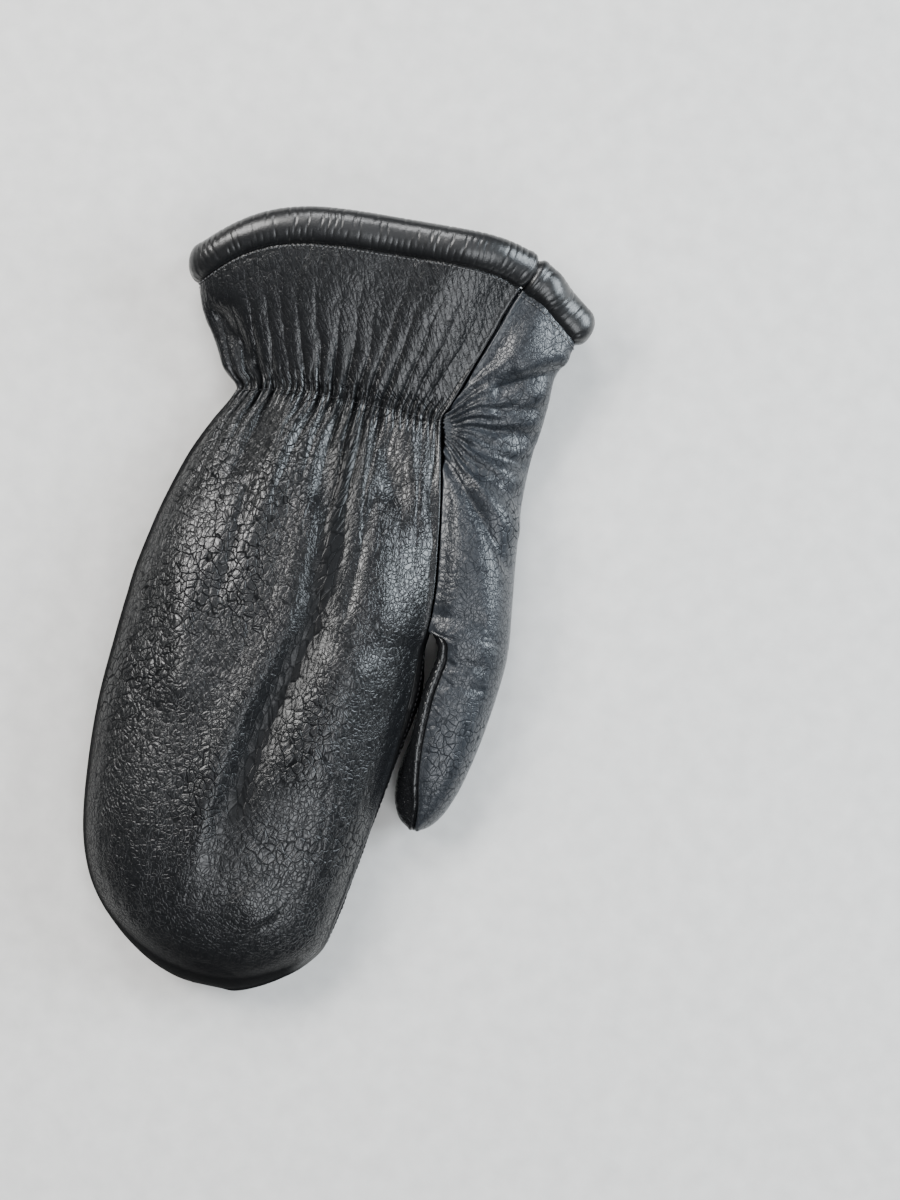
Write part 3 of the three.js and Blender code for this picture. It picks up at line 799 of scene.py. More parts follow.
@dataclass(frozen=True)
class Seam:
    """Leather beside a turned seam: it plunges into the seam and bulges next to it.

    Attributes:
        depth: depth at the seam.
        groove: half the seam's width.
        bulge: height of the bulge.
        spread: half the bulge's width.
    """

    depth: float
    groove: float
    bulge: float
    spread: float

    def height(self, distance: np.ndarray) -> np.ndarray:
        """Heights: -depth bell(d, groove) + bulge bell(d - 1.6 groove, spread)."""
        return (-self.depth * bell(distance, self.groove)
                + self.bulge * bell(distance - 1.6 * self.groove, self.spread))


# Meshes

def grid_quads(ids: np.ndarray) -> np.ndarray:
    """Quads between neighbouring rows and columns of vertex numbers."""
    return np.stack([ids[:-1, :-1], ids[:-1, 1:], ids[1:, 1:], ids[1:, :-1]], -1).reshape(-1, 4)


def border(ids: np.ndarray) -> np.ndarray:
    """Vertex numbers round a grid's edge, each corner once."""
    return np.concatenate([ids[0, :-1], ids[:-1, -1], ids[-1, :0:-1], ids[:0:-1, 0]])


def tube_ids(rings: int, sides: int) -> np.ndarray:
    """Vertex numbers of a tube, ring by ring, with the first side again at the end."""
    ids = np.arange(rings * sides).reshape(rings, sides)
    return np.concatenate([ids, ids[:, :1]], 1)


def signed_volume(points: np.ndarray, *faces: np.ndarray) -> float:
    """Six times the volume inside closed faces: negative where they point inwards.

    Args:
        points: the vertices.
        faces: arrays of quads or triangles.

    Returns:
        The sum over fans of triangles of a . (b x c).
    """
    total = 0.0
    for group in faces:
        corners = points[group]
        for k in range(1, group.shape[1] - 1):
            total += np.sum(corners[:, 0] * np.cross(corners[:, k], corners[:, k + 1]))
    return float(total)


def make_piece(name: str, points: np.ndarray, *faces: np.ndarray) -> bpy.types.Object:
    """An object at the origin, shaded smooth, its faces turned outwards together.

    Args:
        name: the object's name.
        points: vertices by 3, in millimetres.
        faces: arrays of faces, one for each number of corners or each material.

    Returns:
        The object, in the scene.
    """
    if signed_volume(points, *faces) < 0:
        faces = tuple(group[:, ::-1] for group in faces)
    corners = np.concatenate([group.ravel() for group in faces])
    sizes = np.concatenate([np.full(len(group), group.shape[1]) for group in faces])
    mesh = bpy.data.meshes.new(name)
    mesh.vertices.add(len(points))
    mesh.vertices.foreach_set("co", (points * MM).ravel())
    mesh.loops.add(len(corners))
    mesh.loops.foreach_set("vertex_index", corners)
    mesh.polygons.add(len(sizes))
    mesh.polygons.foreach_set("loop_start", np.cumsum(sizes) - sizes)
    mesh.update(calc_edges=True)
    mesh.validate()
    mesh.polygons.foreach_set("use_smooth", np.ones(len(mesh.polygons), bool))
    piece = bpy.data.objects.new(name, mesh)
    bpy.context.scene.collection.objects.link(piece)
    return piece


def add_value(mesh: bpy.types.Mesh, name: str, values: np.ndarray) -> None:
    """Give the mesh a named value at each vertex."""
    layer = mesh.attributes.new(name, "FLOAT", "POINT")
    layer.data.foreach_set("value", values.astype(np.float32))


def add_uv(mesh: bpy.types.Mesh, uv: np.ndarray) -> None:
    """Give the mesh a UV map from one pair in millimetres for each vertex."""
    vertex = np.empty(len(mesh.loops), np.int32)
    mesh.loops.foreach_get("vertex_index", vertex)
    layer = mesh.uv_layers.new(name="leather")
    layer.data.foreach_set("uv", (uv * MM)[vertex].astype(np.float32).ravel())


def leather_piece(name: str, outer: np.ndarray, lining: np.ndarray,
                  values: dict[str, np.ndarray], uv: np.ndarray) -> bpy.types.Object:
    """A closed leather shell: a fine outer face, a coarse lining and the cut edges between.

    The lining has one point for every `step` points of the outer face each way. Along an edge
    each coarse stretch is joined to its `step` fine ones by a fan of triangles.

    Args:
        name: the object's name.
        outer: the outer face's points, rows by columns by 3, in millimetres.
        lining: the lining's points, coarser.
        values: named vertex values on the outer face, from 0 to 1.
        uv: places on the outer face, rows by columns by 2.

    Returns:
        The object, with material slot 0 outside and 1 inside.
    """
    ids = np.arange(outer[..., 0].size).reshape(outer.shape[:2])
    low_ids = ids.size + np.arange(lining[..., 0].size).reshape(lining.shape[:2])
    step = (len(ids) - 1) // (len(low_ids) - 1)
    fine, coarse = border(ids), border(low_ids)
    coarse_next = np.roll(coarse, -1)
    place = np.arange(len(fine))
    apex = np.where(place % step < step // 2, coarse[place // step], coarse_next[place // step])
    edges = np.concatenate([np.stack([np.roll(fine, -1), fine, apex], -1),
                            np.stack([fine[step // 2::step], coarse, coarse_next], -1)])
    outside, inside = grid_quads(ids), grid_quads(low_ids)[:, ::-1]
    points = np.concatenate([outer.reshape(-1, 3), lining.reshape(-1, 3)])
    piece = make_piece(name, points, outside, inside, edges)
    slots = np.repeat((0, 1, 0), (len(outside), len(inside), len(edges)))
    piece.data.polygons.foreach_set("material_index", slots)
    for label, value in values.items():
        add_value(piece.data, label, np.append(value, np.zeros(low_ids.size)))
    add_uv(piece.data, np.concatenate([uv.reshape(-1, 2), np.zeros((low_ids.size, 2))]))
    return piece


# Finishes

@dataclass(frozen=True)
class LeatherFinish:
    """Black leather: cells with cracks between them darkened by painted shade, finer grain and satin
    gloss.

    Attributes:
        name: the material's name.
        color: the leather's colour, linear.
        crack_color: painted shade in the cracks, darker than the leather.
        cell: the size of the grain's cells, in millimetres.
        crack_depth: how deep the cracks between cells read, in millimetres.
        dome_depth: how far the cells bulge, in millimetres.
        fine_depth: how deep the pores read, in millimetres.
        fine_strength: how much of the crack's depth the fine net between cells has.
        roughness: gloss of the cells' tops.
        crack_roughness: gloss in the cracks.
        body_gloss: how much the leather under the polish reflects.
        coat: strength of the polish on the cells' tops.
        coat_roughness: gloss of the polish.
    """

    name: str
    color: tuple[float, float, float] = (0.0064, 0.0068, 0.0076)
    # painted shade: the cracks' colour, darker than the leather
    crack_color: tuple[float, float, float] = (0.0010, 0.0010, 0.0012)
    cell: float = 2.5
    crack_depth: float = 0.12
    dome_depth: float = 0.10
    fine_depth: float = 0.008
    fine_strength: float = 0.62
    roughness: float = 0.45
    crack_roughness: float = 0.90
    body_gloss: float = 0.05
    coat: float = 0.95
    coat_roughness: float = 0.23

    # the nets' cell sizes in shares of `cell`, and their cracks' widths in shares of a cell
    FINE_CELL, DRAWN_CELL = 0.52, 0.82
    COARSE_CRACK, FINE_CRACK, DRAWN_CRACK = 0.10, 0.15, 0.13
    # how much the cells are pulled along the hand, and drawn out beside the gathers
    PULL, DRAW = (1.0, 0.78, 1.0), (1.0, 0.32, 1.0)
    # strengths of the fine net among coarse cells, of fine and drawn domes, and of cracks
    FINE_AMONG_COARSE, FINE_DOME, DRAWN_DOME = 0.45, 0.2, 0.7
    DRAWN_DEPTH, GATHER_DEPTH = 0.60, 0.3
    # how far plain leather flattens the grain, and how much the painted shade darkens the colour and
    # takes off the polish
    PLAIN_SHARE, DULL_TONE, DULL_POLISH = 0.86, 0.85, 0.97
    PORES, MOTTLE = 2600.0, 55.0

    def grain(self, build: "NodeBuilder") -> tuple[bpy.types.NodeSocket, bpy.types.NodeSocket]:
        """The cells, 0 in a crack and 1 on a cell, and the domes of the cells.

        Two nets on Object coordinates, bent by noise: a coarse one where the piece's `coarse`
        value is high and a fine one elsewhere. A third on the UV map is drawn out along the
        leather where `drawn` is high, deeper where `gather` is. `plain` fades them all.
        """
        coarse_share, drawn_share = build.attribute("coarse"), build.attribute("drawn")
        bent = build.bend(build.scaled(build.place("Object"), self.PULL), self.cell * 2.2,
                          self.cell * 0.7)
        coarse, coarse_dome = build.cracks(bent, self.cell, self.COARSE_CRACK)
        fine, fine_dome = build.cracks(bent, self.cell * self.FINE_CELL, self.FINE_CRACK)
        strength = build.mix_value(self.fine_strength,
                                   self.FINE_AMONG_COARSE * self.fine_strength, coarse_share)
        faint = build.mix_value(1.0, fine, strength)
        cells = build.mix_value(faint, build.math("MINIMUM", coarse, faint), coarse_share)
        domes = build.mix_value(build.math("MULTIPLY", fine_dome, self.FINE_DOME), coarse_dome,
                                coarse_share)
        place = build.bend(build.scaled(build.place("UV"), self.DRAW), self.cell * 3,
                           self.cell * 0.35)
        drawn, drawn_dome = build.cracks(place, self.cell * self.DRAWN_CELL, self.DRAWN_CRACK)
        depth = build.math("ADD", self.DRAWN_DEPTH, build.math(
            "MULTIPLY", build.attribute("gather"), self.GATHER_DEPTH))
        cells = build.mix_value(cells, build.mix_value(1.0, drawn, depth), drawn_share)
        domes = build.mix_value(domes, build.math("MULTIPLY", drawn_dome, self.DRAWN_DOME),
                                drawn_share)
        flat = build.math("MULTIPLY", build.attribute("plain"), self.PLAIN_SHARE)
        return build.mix_value(cells, 1.0, flat), build.mix_value(domes, 1.0, flat)

    def material(self) -> bpy.types.Material:
        """The node material: cracks darken the colour with painted shade, break the polish and lower
        the bump.

        The polish is a clear coat on the cells. A painted-shade value takes it off and darkens the
        leather.
        """
        build = NodeBuilder.named(self.name)
        cells, domes = self.grain(build)
        # painted shade: this vertex value darkens the colour and takes off the polish
        dull = build.attribute("dull")
        pores = build.noise(build.place("Object"), self.PORES, 3.0)
        mottle = build.noise(build.place("Object"), self.MOTTLE, 2.0)
        height = build.math("ADD", build.math("MULTIPLY", cells, self.crack_depth * MM),
                            build.math("MULTIPLY", pores, self.fine_depth * MM))
        height = build.math("ADD", height, build.math("MULTIPLY", domes, self.dome_depth * MM))
        normal = build.bump(height)
        # painted shade: the cracks take the darker colour
        tone = build.mix_color(self.crack_color, self.color, cells)
        tone = build.mix_color(tone, tuple(c * 1.7 for c in self.color),
                               build.math("MULTIPLY", mottle, 0.5))
        tone = build.mix_color(tone, tuple(c * 0.4 for c in self.color),
                               build.math("MULTIPLY", dull, self.DULL_TONE))
        gloss = build.mix_value(self.crack_roughness, self.roughness, cells)
        gloss = build.math("ADD", gloss, build.math(
            "MULTIPLY", build.math("SUBTRACT", mottle, 0.5), 0.16))
        # the polish left where no shade is painted
        rubbed = build.math("SUBTRACT", 1.0, build.math("MULTIPLY", dull, self.DULL_POLISH))
        polish = build.math("MULTIPLY", build.math("MULTIPLY", cells, rubbed), self.coat)
        return build.surface({
            "Base Color": tone, "Roughness": build.mix_value(gloss, 1.0, dull),
            "Normal": normal, "Specular IOR Level": self.body_gloss, "Coat Weight": polish,
            "Coat Roughness": self.coat_roughness, "Coat Normal": normal})


@dataclass(frozen=True)
class PlainFinish:
    """A matt fibrous finish, for the leather's inside, thread and floor.

    Attributes:
        name: the material's name.
        color: the colour, linear.
        roughness: the gloss.
        fibre: the size of the fibres, in millimetres.
        depth: how deep they read, in millimetres.
    """

    name: str
    color: tuple[float, float, float]
    roughness: float = 0.8
    fibre: float = 0.5
    depth: float = 0.1

    def material(self) -> bpy.types.Material:
        """The node material: noise on Object coordinates varies the colour and the bump."""
        build = NodeBuilder.named(self.name)
        fibres = build.noise(build.place("Object"), 1000 / self.fibre, 3.0)
        dark = tuple(c * 0.75 for c in self.color)
        return build.surface({
            "Base Color": build.mix_color(dark, self.color, fibres),
            "Roughness": self.roughness,
            "Normal": build.bump(build.math("MULTIPLY", fibres, self.depth * MM))})


@dataclass
class NodeBuilder:
    """Builds a node material, with one short call for each node.

    Attributes:
        material: the material.
    """

    material: bpy.types.Material

    @classmethod
    def named(cls, name: str) -> "NodeBuilder":
        """A builder with a new material without nodes."""
        material = bpy.data.materials.new(name)
        material.use_nodes = True
        material.node_tree.nodes.clear()
        return cls(material)

    def node(self, kind: str) -> bpy.types.Node:
        """A new node of a kind."""
        return self.material.node_tree.nodes.new(kind)

    def put(self, value: object, socket: bpy.types.NodeSocket) -> None:
        """Link a socket, or set a plain value, into an input."""
        if isinstance(value, bpy.types.NodeSocket):
            self.material.node_tree.links.new(value, socket)
        elif isinstance(value, tuple):
            socket.default_value = (*value, 1.0)[:len(socket.default_value)]
        else:
            socket.default_value = value

    def surface(self, values: dict[str, object]) -> bpy.types.Material:
        """The material, finished with a Principled shader that has the named inputs."""
        shader = self.node("ShaderNodeBsdfPrincipled")
        for name, value in values.items():
            self.put(value, shader.inputs[name])
        self.put(shader.outputs["BSDF"], self.node("ShaderNodeOutputMaterial").inputs["Surface"])
        return self.material

    def place(self, kind: str) -> bpy.types.NodeSocket:
        """Object coordinates, or the piece's own UV map."""
        return self.node("ShaderNodeTexCoord").outputs[kind]

    def bump(self, height: bpy.types.NodeSocket) -> bpy.types.NodeSocket:
        """The surface's normal, tilted by the slope of a height in metres."""
        node = self.node("ShaderNodeBump")
        node.inputs["Strength"].default_value = 1.0
        node.inputs["Distance"].default_value = 1.0
        self.put(height, node.inputs["Height"])
        return node.outputs["Normal"]

    def math(self, operation: str, a: object, b: object) -> bpy.types.NodeSocket:
        """The result of a math node on two values."""
        node = self.node("ShaderNodeMath")
        node.operation = operation
        self.put(a, node.inputs[0])
        self.put(b, node.inputs[1])
        return node.outputs[0]

    def mix_value(self, a: object, b: object, share: object) -> bpy.types.NodeSocket:
        """A number blended from a to b."""
        node = self.node("ShaderNodeMix")
        self.put(share, node.inputs[0])
        self.put(a, node.inputs[2])
        self.put(b, node.inputs[3])
        return node.outputs[0]

    def mix_color(self, a: object, b: object, share: object) -> bpy.types.NodeSocket:
        """A colour blended from a to b."""
        node = self.node("ShaderNodeMix")
        node.data_type = "RGBA"
        self.put(share, node.inputs[0])
        self.put(a, node.inputs[6])
        self.put(b, node.inputs[7])
        return node.outputs[2]

    def attribute(self, name: str) -> bpy.types.NodeSocket:
        """A vertex value of the piece."""
        node = self.node("ShaderNodeAttribute")
        node.attribute_name = name
        return node.outputs["Fac"]

    def noise(self, place: bpy.types.NodeSocket, scale: float, detail: float,
              output: str = "Fac") -> bpy.types.NodeSocket:
        """Noise of a scale, from 0 to 1: one value, or three as a colour."""
        node = self.node("ShaderNodeTexNoise")
        node.inputs["Scale"].default_value = scale
        node.inputs["Detail"].default_value = detail
        self.put(place, node.inputs["Vector"])
        return node.outputs[output]

    def scaled(self, place: bpy.types.NodeSocket,
               scale: tuple[float, float, float]) -> bpy.types.NodeSocket:
        """A place multiplied axis by axis."""
        node = self.node("ShaderNodeVectorMath")
        node.operation = "MULTIPLY"
        self.put(place, node.inputs[0])
        self.put(scale, node.inputs[1])
        return node.outputs[0]

    def bend(self, place: bpy.types.NodeSocket, size: float,
             amount: float) -> bpy.types.NodeSocket:
        """A place moved by noise: place + 2 noise times amount.

        Args:
            place: the place.
            size: the noise's size, in millimetres.
            amount: how far it moves, in millimetres.

        Returns:
            The moved place.
        """
        node = self.node("ShaderNodeVectorMath")
        node.operation = "MULTIPLY_ADD"
        self.put(self.noise(place, 1000 / size, 1.0, "Color"), node.inputs[0])
        self.put((amount * 2 * MM,) * 3, node.inputs[1])
        self.put(place, node.inputs[2])
        return node.outputs[0]

    def cracks(self, place: bpy.types.NodeSocket, size: float,
               width: float) -> tuple[bpy.types.NodeSocket, bpy.types.NodeSocket]:
        """Cells with cracks between: the distance to the cell's edge over the crack's width,
        held at 1, through a smooth step; and the same over half a cell, which is the dome.

        Args:
            place: the place.
            size: a cell's size, in millimetres.
            width: the crack's width, in cells.

        Returns:
            Cracks and domes, each from 0, in a crack, to 1, on a cell.
        """
        cells = self.node("ShaderNodeTexVoronoi")
        cells.feature = "DISTANCE_TO_EDGE"
        cells.inputs["Scale"].default_value = 1000 / size
        self.put(place, cells.inputs["Vector"])
        ramps = []
        for reach in (width, 0.5):
            ramp = self.node("ShaderNodeMapRange")
            ramp.interpolation_type = "SMOOTHSTEP"
            ramp.inputs["From Max"].default_value = reach
            self.put(cells.outputs["Distance"], ramp.inputs["Value"])
            ramps.append(ramp.outputs["Result"])
        return ramps[0], ramps[1]


# The mitten's sub-assemblies

@dataclass
class Gathers:
    """The elastic gathers across the back at the wrist, and the folds that fan out of them.

    Attributes:
        pucker_pitch: distance between the small puckers on the stitched line.
        pucker_height: their height.
        fold_pitch: distance between the folds that run on from them.
        fold_height: their height.
        hand_reach: how far the folds run down the hand.
        cuff_reach: how far they run up the cuff.
    """

    pucker_pitch: float = 2.5
    pucker_height: float = 1.4
    fold_pitch: float = 4.8
    fold_height: float = 1.8
    hand_reach: float = 28.0
    cuff_reach: float = 19.0

    # what bends the puckers and the folds, and where the folds read theirs
    PUCKER_BEND, FOLD_BEND, FOLD_SHIFT = Swell(11, 9.0, 20.0, 0.9), Swell(11, 14.0, 30.0, 2.4), 560.0
    # the puckers' band, and the stitched groove's depth and width
    PUCKER_BAND, LINE_DEPTH, LINE_WIDTH = 5.6, 0.75, 1.1
    # heights vary by noise: the middle share and the change of puckers and of folds
    PUCKER_VARIES, FOLD_VARIES = (0.85, 0.35), (0.7, 0.75)

    def height(self, across: np.ndarray, past: np.ndarray) -> np.ndarray:
        """Height of the gathers over the smooth form.

        Waves across the panel, bent by noise, fade away from the wrist: small ones within a
        few millimetres and larger ones over the reaches. A narrow groove follows the line.

        Args:
            across: distance across, along the wrist's own length.
            past: distance from the wrist line, positive up the cuff.

        Returns:
            Heights, in millimetres.
        """
        strength = Noise(12)
        bent = across + self.PUCKER_BEND.at(across, past)
        pucker = creased_wave(bent / self.pucker_pitch) * bell(past, self.PUCKER_BAND)
        middle, change = self.PUCKER_VARIES
        pucker *= middle + change * strength.at(across / 5.0, past / 9.0)
        reach = np.where(past < 0, self.hand_reach, self.cuff_reach)
        fade = np.exp(-np.abs(past) / reach) * smooth(1.15 - np.abs(past) / (3.0 * reach))
        wide = across + self.FOLD_BEND.at(across + self.FOLD_SHIFT, past)
        fold = creased_wave(wide / self.fold_pitch)
        middle, change = self.FOLD_VARIES
        fold *= fade * (middle + change * strength.at(across / 8.0 + 30.0, past / 40.0))
        line = -self.LINE_DEPTH * bell(past, self.LINE_WIDTH)
        return self.pucker_height * pucker + self.fold_height * fold + line


@dataclass
class Panel:
    """What every leather panel shares: its form, its face and how its mesh is made.

    Attributes:
        form: the mitten's form.
        name: the piece's name.
        node: the solid that it stands for.
        slot: the record's material slot; not used.
        finish: its outer finish.
        sheet: its smooth form.
        face: its outer face with folds and seams, rows by columns by 3.
    """

    form: MittenForm
    name: str
    node: str
    slot: Slot
    finish: LeatherFinish
    sheet: Sheet = field(init=False)
    face: np.ndarray = field(init=False)

    LINING_STEP = 4

    def __post_init__(self) -> None:
        """Work out the smooth form and the face."""
        self.sheet = self.smooth_form()
        self.face = self.sheet.points + self.sheet.outward * self.relief()[..., None]

    def smooth_form(self) -> Sheet:
        """The panel's smooth form."""
        raise NotImplementedError

    def relief(self) -> np.ndarray:
        """Height of folds, gathers and seams over the smooth form."""
        raise NotImplementedError

    def values(self) -> dict[str, np.ndarray]:
        """Vertex values that steer the finish."""
        raise NotImplementedError

    def line(self, rows: np.ndarray | int,
             columns: np.ndarray) -> tuple[np.ndarray, np.ndarray]:
        """Points and outward ways on the face, at grid places."""
        return self.face[rows, columns], self.sheet.outward[rows, columns]

    def build(self, inside: bpy.types.Material) -> bpy.types.Object:
        """Make the panel's mesh and dress it.

        Args:
            inside: the material of the leather's inside.

        Returns:
            The piece, riding on the mitten's body in place of its solid.
        """
        step = slice(None, None, self.LINING_STEP)
        lining = self.face[step, step] - self.sheet.outward[step, step] * self.form.wall
        uv = np.stack([self.sheet.across, self.sheet.along], -1)
        piece = leather_piece(self.name, self.face, lining, self.values(), uv)
        piece.data.materials.append(self.finish.material())
        piece.data.materials.append(inside)
        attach(piece, "root")
        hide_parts(self.node)
        log.info("%s: %d faces", self.name, len(piece.data.polygons))
        return piece


def packed_shares(count: int, first: float, last: float) -> np.ndarray:
    """Shares from 0 to 1, packed more closely at the ends.

    s = u - (first (1 - u) + last u) sin(2 pi u) / (2 pi), with u in equal steps.

    Args:
        count: how many shares.
        first: how strongly they are packed at the start, from 0 to 0.9.
        last: how strongly at the end.

    Returns:
        The shares.
    """
    u = np.linspace(0.0, 1.0, count)
    return u - (first * (1 - u) + last * u) * np.sin(2 * math.pi * u) / (2 * math.pi)


@dataclass
class BackPanel(Panel):
    """The back of hand and cuff, one piece from the fingertip to the rim."""

    rows: int = 261
    columns: int = 341
    gathers: Gathers = field(default_factory=Gathers)

    # x, y, radius and strength of the places with the coarsest grain
    COARSE = (
        (-18.0, 74.0, 20.0, 0.6),
        (-15.6, 39.6, 16.0, 0.8),
        (-33.0, 28.8, 14.0, 0.8),
        (-46.0, -2.6, 13.0, 0.9),
        (-8.1, -37.5, 13.0, 0.8),
        (20.3, -2.9, 12.0, 0.9),
        (19.8, -17.3, 10.0, 0.7),
        (6.0, -70.0, 20.0, 0.7),
        (40.0, -45.0, 12.0, 0.5),
    )
    # the long ridge down the hand: x, y, its height and the depth of the valley on its right
    RIDGE = Ridge((
        (2.5, 108.0, 0.2, 0.4),
        (5.5, 75.0, 1.0, 1.6),
        (7.0, 55.0, 1.3, 2.2),
        (6.3, 28.0, 1.6, 2.6),
        (1.0, 8.0, 1.9, 2.8),
        (-3.0, -8.0, 2.0, 2.6),
        (-5.5, -24.0, 2.1, 1.7),
        (-7.4, -42.0, 1.9, 0.5),
        (-8.0, -62.0, 0.6, 0.0),
    ))

    # x and y of both ends, half the width, height and keenness. x and width are shares of the
    # hand's width, height of its own height; y counts down the hand in hand lengths from the
    # wrist, and up the cuff in cuff lengths below 0
    FOLDS = (
        (0.060, 0.010, 0.075, 0.150, 0.045, -0.040, 1.7),
        (-0.173, -0.010, -0.205, 0.130, 0.045, -0.055, 1.6),
        (-0.080, 0.000, -0.090, 0.200, 0.040, 0.045, 2.0),
        (0.180, -0.020, 0.328, 0.125, 0.045, -0.055, 1.6),
        (0.300, 0.000, 0.400, 0.150, 0.040, 0.040, 2.0),
        (-0.387, -0.650, -0.205, -0.150, 0.045, -0.080, 1.6),
        (-0.450, -0.500, -0.330, -0.150, 0.050, 0.050, 2.0),
        (0.290, 0.400, 0.235, 0.610, 0.090, 0.055, 2.0),
        (0.100, 0.820, 0.180, 0.860, 0.080, 0.030, 2.0),
        (0.120, 0.060, 0.150, 0.300, 0.030, 0.030, 2.0),
        (0.250, 0.120, 0.240, 0.330, 0.028, -0.030, 1.4),
        (-0.300, 0.300, -0.230, 0.520, 0.060, 0.030, 2.0),
        (-0.160, 0.150, -0.170, 0.330, 0.022, -0.030, 1.4),
    )
    SEAM = Seam(1.3, 0.5, 0.8, 1.7)
    SIDE = Seam(0.5, 0.6, 0.15, 1.5)
    # long swells below the wrist with their middle and reach, soft ones all over, and wrinkles
    LONG_SWELLS, SWELLS_AT, SWELLS_REACH = Swell(21, 1 / 9, 80.0, 0.7, 2), -28.0, 42.0
    SOFT_SWELLS, WRINKLES = Swell(22, 18.0, 26.0, 0.4, 2), Wrinkles(31, 6.5, 1.6, 0.09)
    # the hollow where curved creases ring the hand's edge beside the thumb: the rings' centre,
    # and how far from it and how widely they show
    RINGS_AT, RINGS_PITCH, RINGS_HEIGHT = (6.0, -34.0), 4.6, 0.20
    RINGS_OFF, RINGS_WIDTH, RINGS_LENGTH = 30.0, 15.0, 34.0
    # folds need leather that lies this level, and start this far from the tip
    FOLDED_LEVEL, FOLDED_FROM = 0.75, 5.0
    # where the tip turns down, past which it is plain and painted with shade, and over what length
    TIP_AT, TIP_RUN = -77.0, 26.0
    # coarse grain: its share and change, its start below the wrist and above the tip with the
    # lengths over which it sets in, and its share on the cuff with its start and length
    COARSE_SHARE, COARSE_CHANGE = 0.46, Swell(41, 18.0, 24.0, 0.42)
    COARSE_WRIST, COARSE_TIP, COARSE_CUFF = (-1.0, 13.0), (-84.0, 45.0), (0.5, 5.0, 10.0)
    # drawn grain: its share at the wrist and in the valley, its reach down the hand and up the
    # cuff, and its share on the cuff with its start and length
    DRAWN, DRAWN_REACH, DRAWN_CUFF = 0.9, (7.5, 14.0), (0.55, 4.0, 20.0)
    # plain leather: below which level, and how wide beside the seam
    PLAIN_LEVEL, PLAIN_WIDTH = 0.5, 2.2
    # painted shade, darker and without polish, on the steep sides: strength, the level below which
    # it starts and over what change; up to where past the wrist, across the hand and at the tip; and
    # its share in the valley
    DULL, DULL_LEVEL, DULL_WRIST = 1.15, (0.74, 0.45), (6.0, 10.0)
    DULL_ACROSS, DULL_TIP, DULL_VALLEY = (30.0, 10.0), (-45.0, 18.0), 0.6
    # the gathers' deeper grain: full within this share, and its reach
    GATHER_FULL, GATHER_REACH = 1.6, 6.5

    def smooth_form(self) -> Sheet:
        """The back's form, with its columns packed at the seams."""
        form, shares = self.form, packed_shares(self.columns, 0.2, 0.75)
        grid = form.trunk_grid(form.back, form.trunk_indices(self.rows), shares)
        return Sheet.from_grid(grid, 1.0)

    def past_wrist(self) -> np.ndarray:
        """Distance past the wrist line, positive up the cuff."""
        index = self.form.trunk_indices(self.rows)
        return self.sheet.along - np.interp(self.form.WRIST, index, self.sheet.along[:, 0])

    def fold(self, x0: float, y0: float, x1: float, y1: float, width: float, depth: float,
             keen: float) -> Fold:
        """A fold from one row of FOLDS."""
        form = self.form
        ends = [(x * form.hand_width,
                 form.wrist_at - y * (form.cuff_length if y < 0 else form.hand_length))
                for x, y in ((x0, y0), (x1, y1))]
        return Fold(*ends, width * form.hand_width, depth * form.hand_height, keen)

    def relief(self) -> np.ndarray:
        """Folds, gathers, wrinkles, and the turned seams on both sides."""
        sheet, past = self.sheet, self.past_wrist()
        x, y = sheet.points[..., 0], sheet.points[..., 1]
        wrist_length = sheet.across[np.argmin(np.abs(past[:, 0])), -1]
        swells = self.LONG_SWELLS.at(sheet.shares, past)
        off_x, off_y = x - self.RINGS_AT[0], y - self.RINGS_AT[1]
        rings = np.hypot(off_x, off_y * 0.8) / self.RINGS_PITCH
        rings = creased_wave(rings + 0.5 * Noise(23).at(x / 9.0, y / 9.0))
        height = (sum(self.fold(*row).height(x, y) for row in self.FOLDS)
                  + self.RIDGE.height(x, y)
                  + self.gathers.height(sheet.shares * wrist_length, past)
                  + swells * bell(past - self.SWELLS_AT, self.SWELLS_REACH)
                  + self.SOFT_SWELLS.at(x, y)
                  + self.WRINKLES.at(x, y)
                  + (self.RINGS_HEIGHT * rings * bell(off_x - self.RINGS_OFF, self.RINGS_WIDTH)
                     * bell(off_y, self.RINGS_LENGTH)))
        height = height * smooth(sheet.outward[..., 2] / self.FOLDED_LEVEL)
        seams = self.SEAM.height(sheet.from_last_side) + self.SIDE.height(sheet.from_first_side)
        return (height + seams) * smooth(sheet.along / self.FOLDED_FROM)

    def values(self) -> dict[str, np.ndarray]:
        """Coarse grain on the hand, drawn-out grain round the wrist, plain along the edges, and
        painted shade on the steep sides, the tip and in the valley.
        """
        sheet, past = self.sheet, self.past_wrist()
        x, y = sheet.points[..., 0], sheet.points[..., 1]
        level, valley = sheet.outward[..., 2], self.RIDGE.valley(x, y)
        coarse = self.COARSE_SHARE + self.COARSE_CHANGE.at(x, y)
        for patch_x, patch_y, radius, amount in self.COARSE:
            coarse = coarse + amount * bell(np.hypot(x - patch_x, y - patch_y), radius)
        (wrist, wrist_run), (tip_at, tip_run) = self.COARSE_WRIST, self.COARSE_TIP
        coarse = (np.clip(coarse, 0, 1) * smooth((wrist - past) / wrist_run)
                  * smooth((y - tip_at) / tip_run))
        share, start, run = self.COARSE_CUFF
        coarse = np.maximum(coarse, share * smooth((past - start) / run))
        drawn = self.DRAWN * bell(past, np.where(past < 0.0, *self.DRAWN_REACH))
        share, start, run = self.DRAWN_CUFF
        drawn = np.maximum(drawn + share * smooth((past - start) / run), self.DRAWN * valley)
        tip = smooth((self.TIP_AT - y) / self.TIP_RUN)
        plain = (1.0 - smooth(level / self.PLAIN_LEVEL)
                 + bell(sheet.from_last_side, self.PLAIN_WIDTH) + tip)
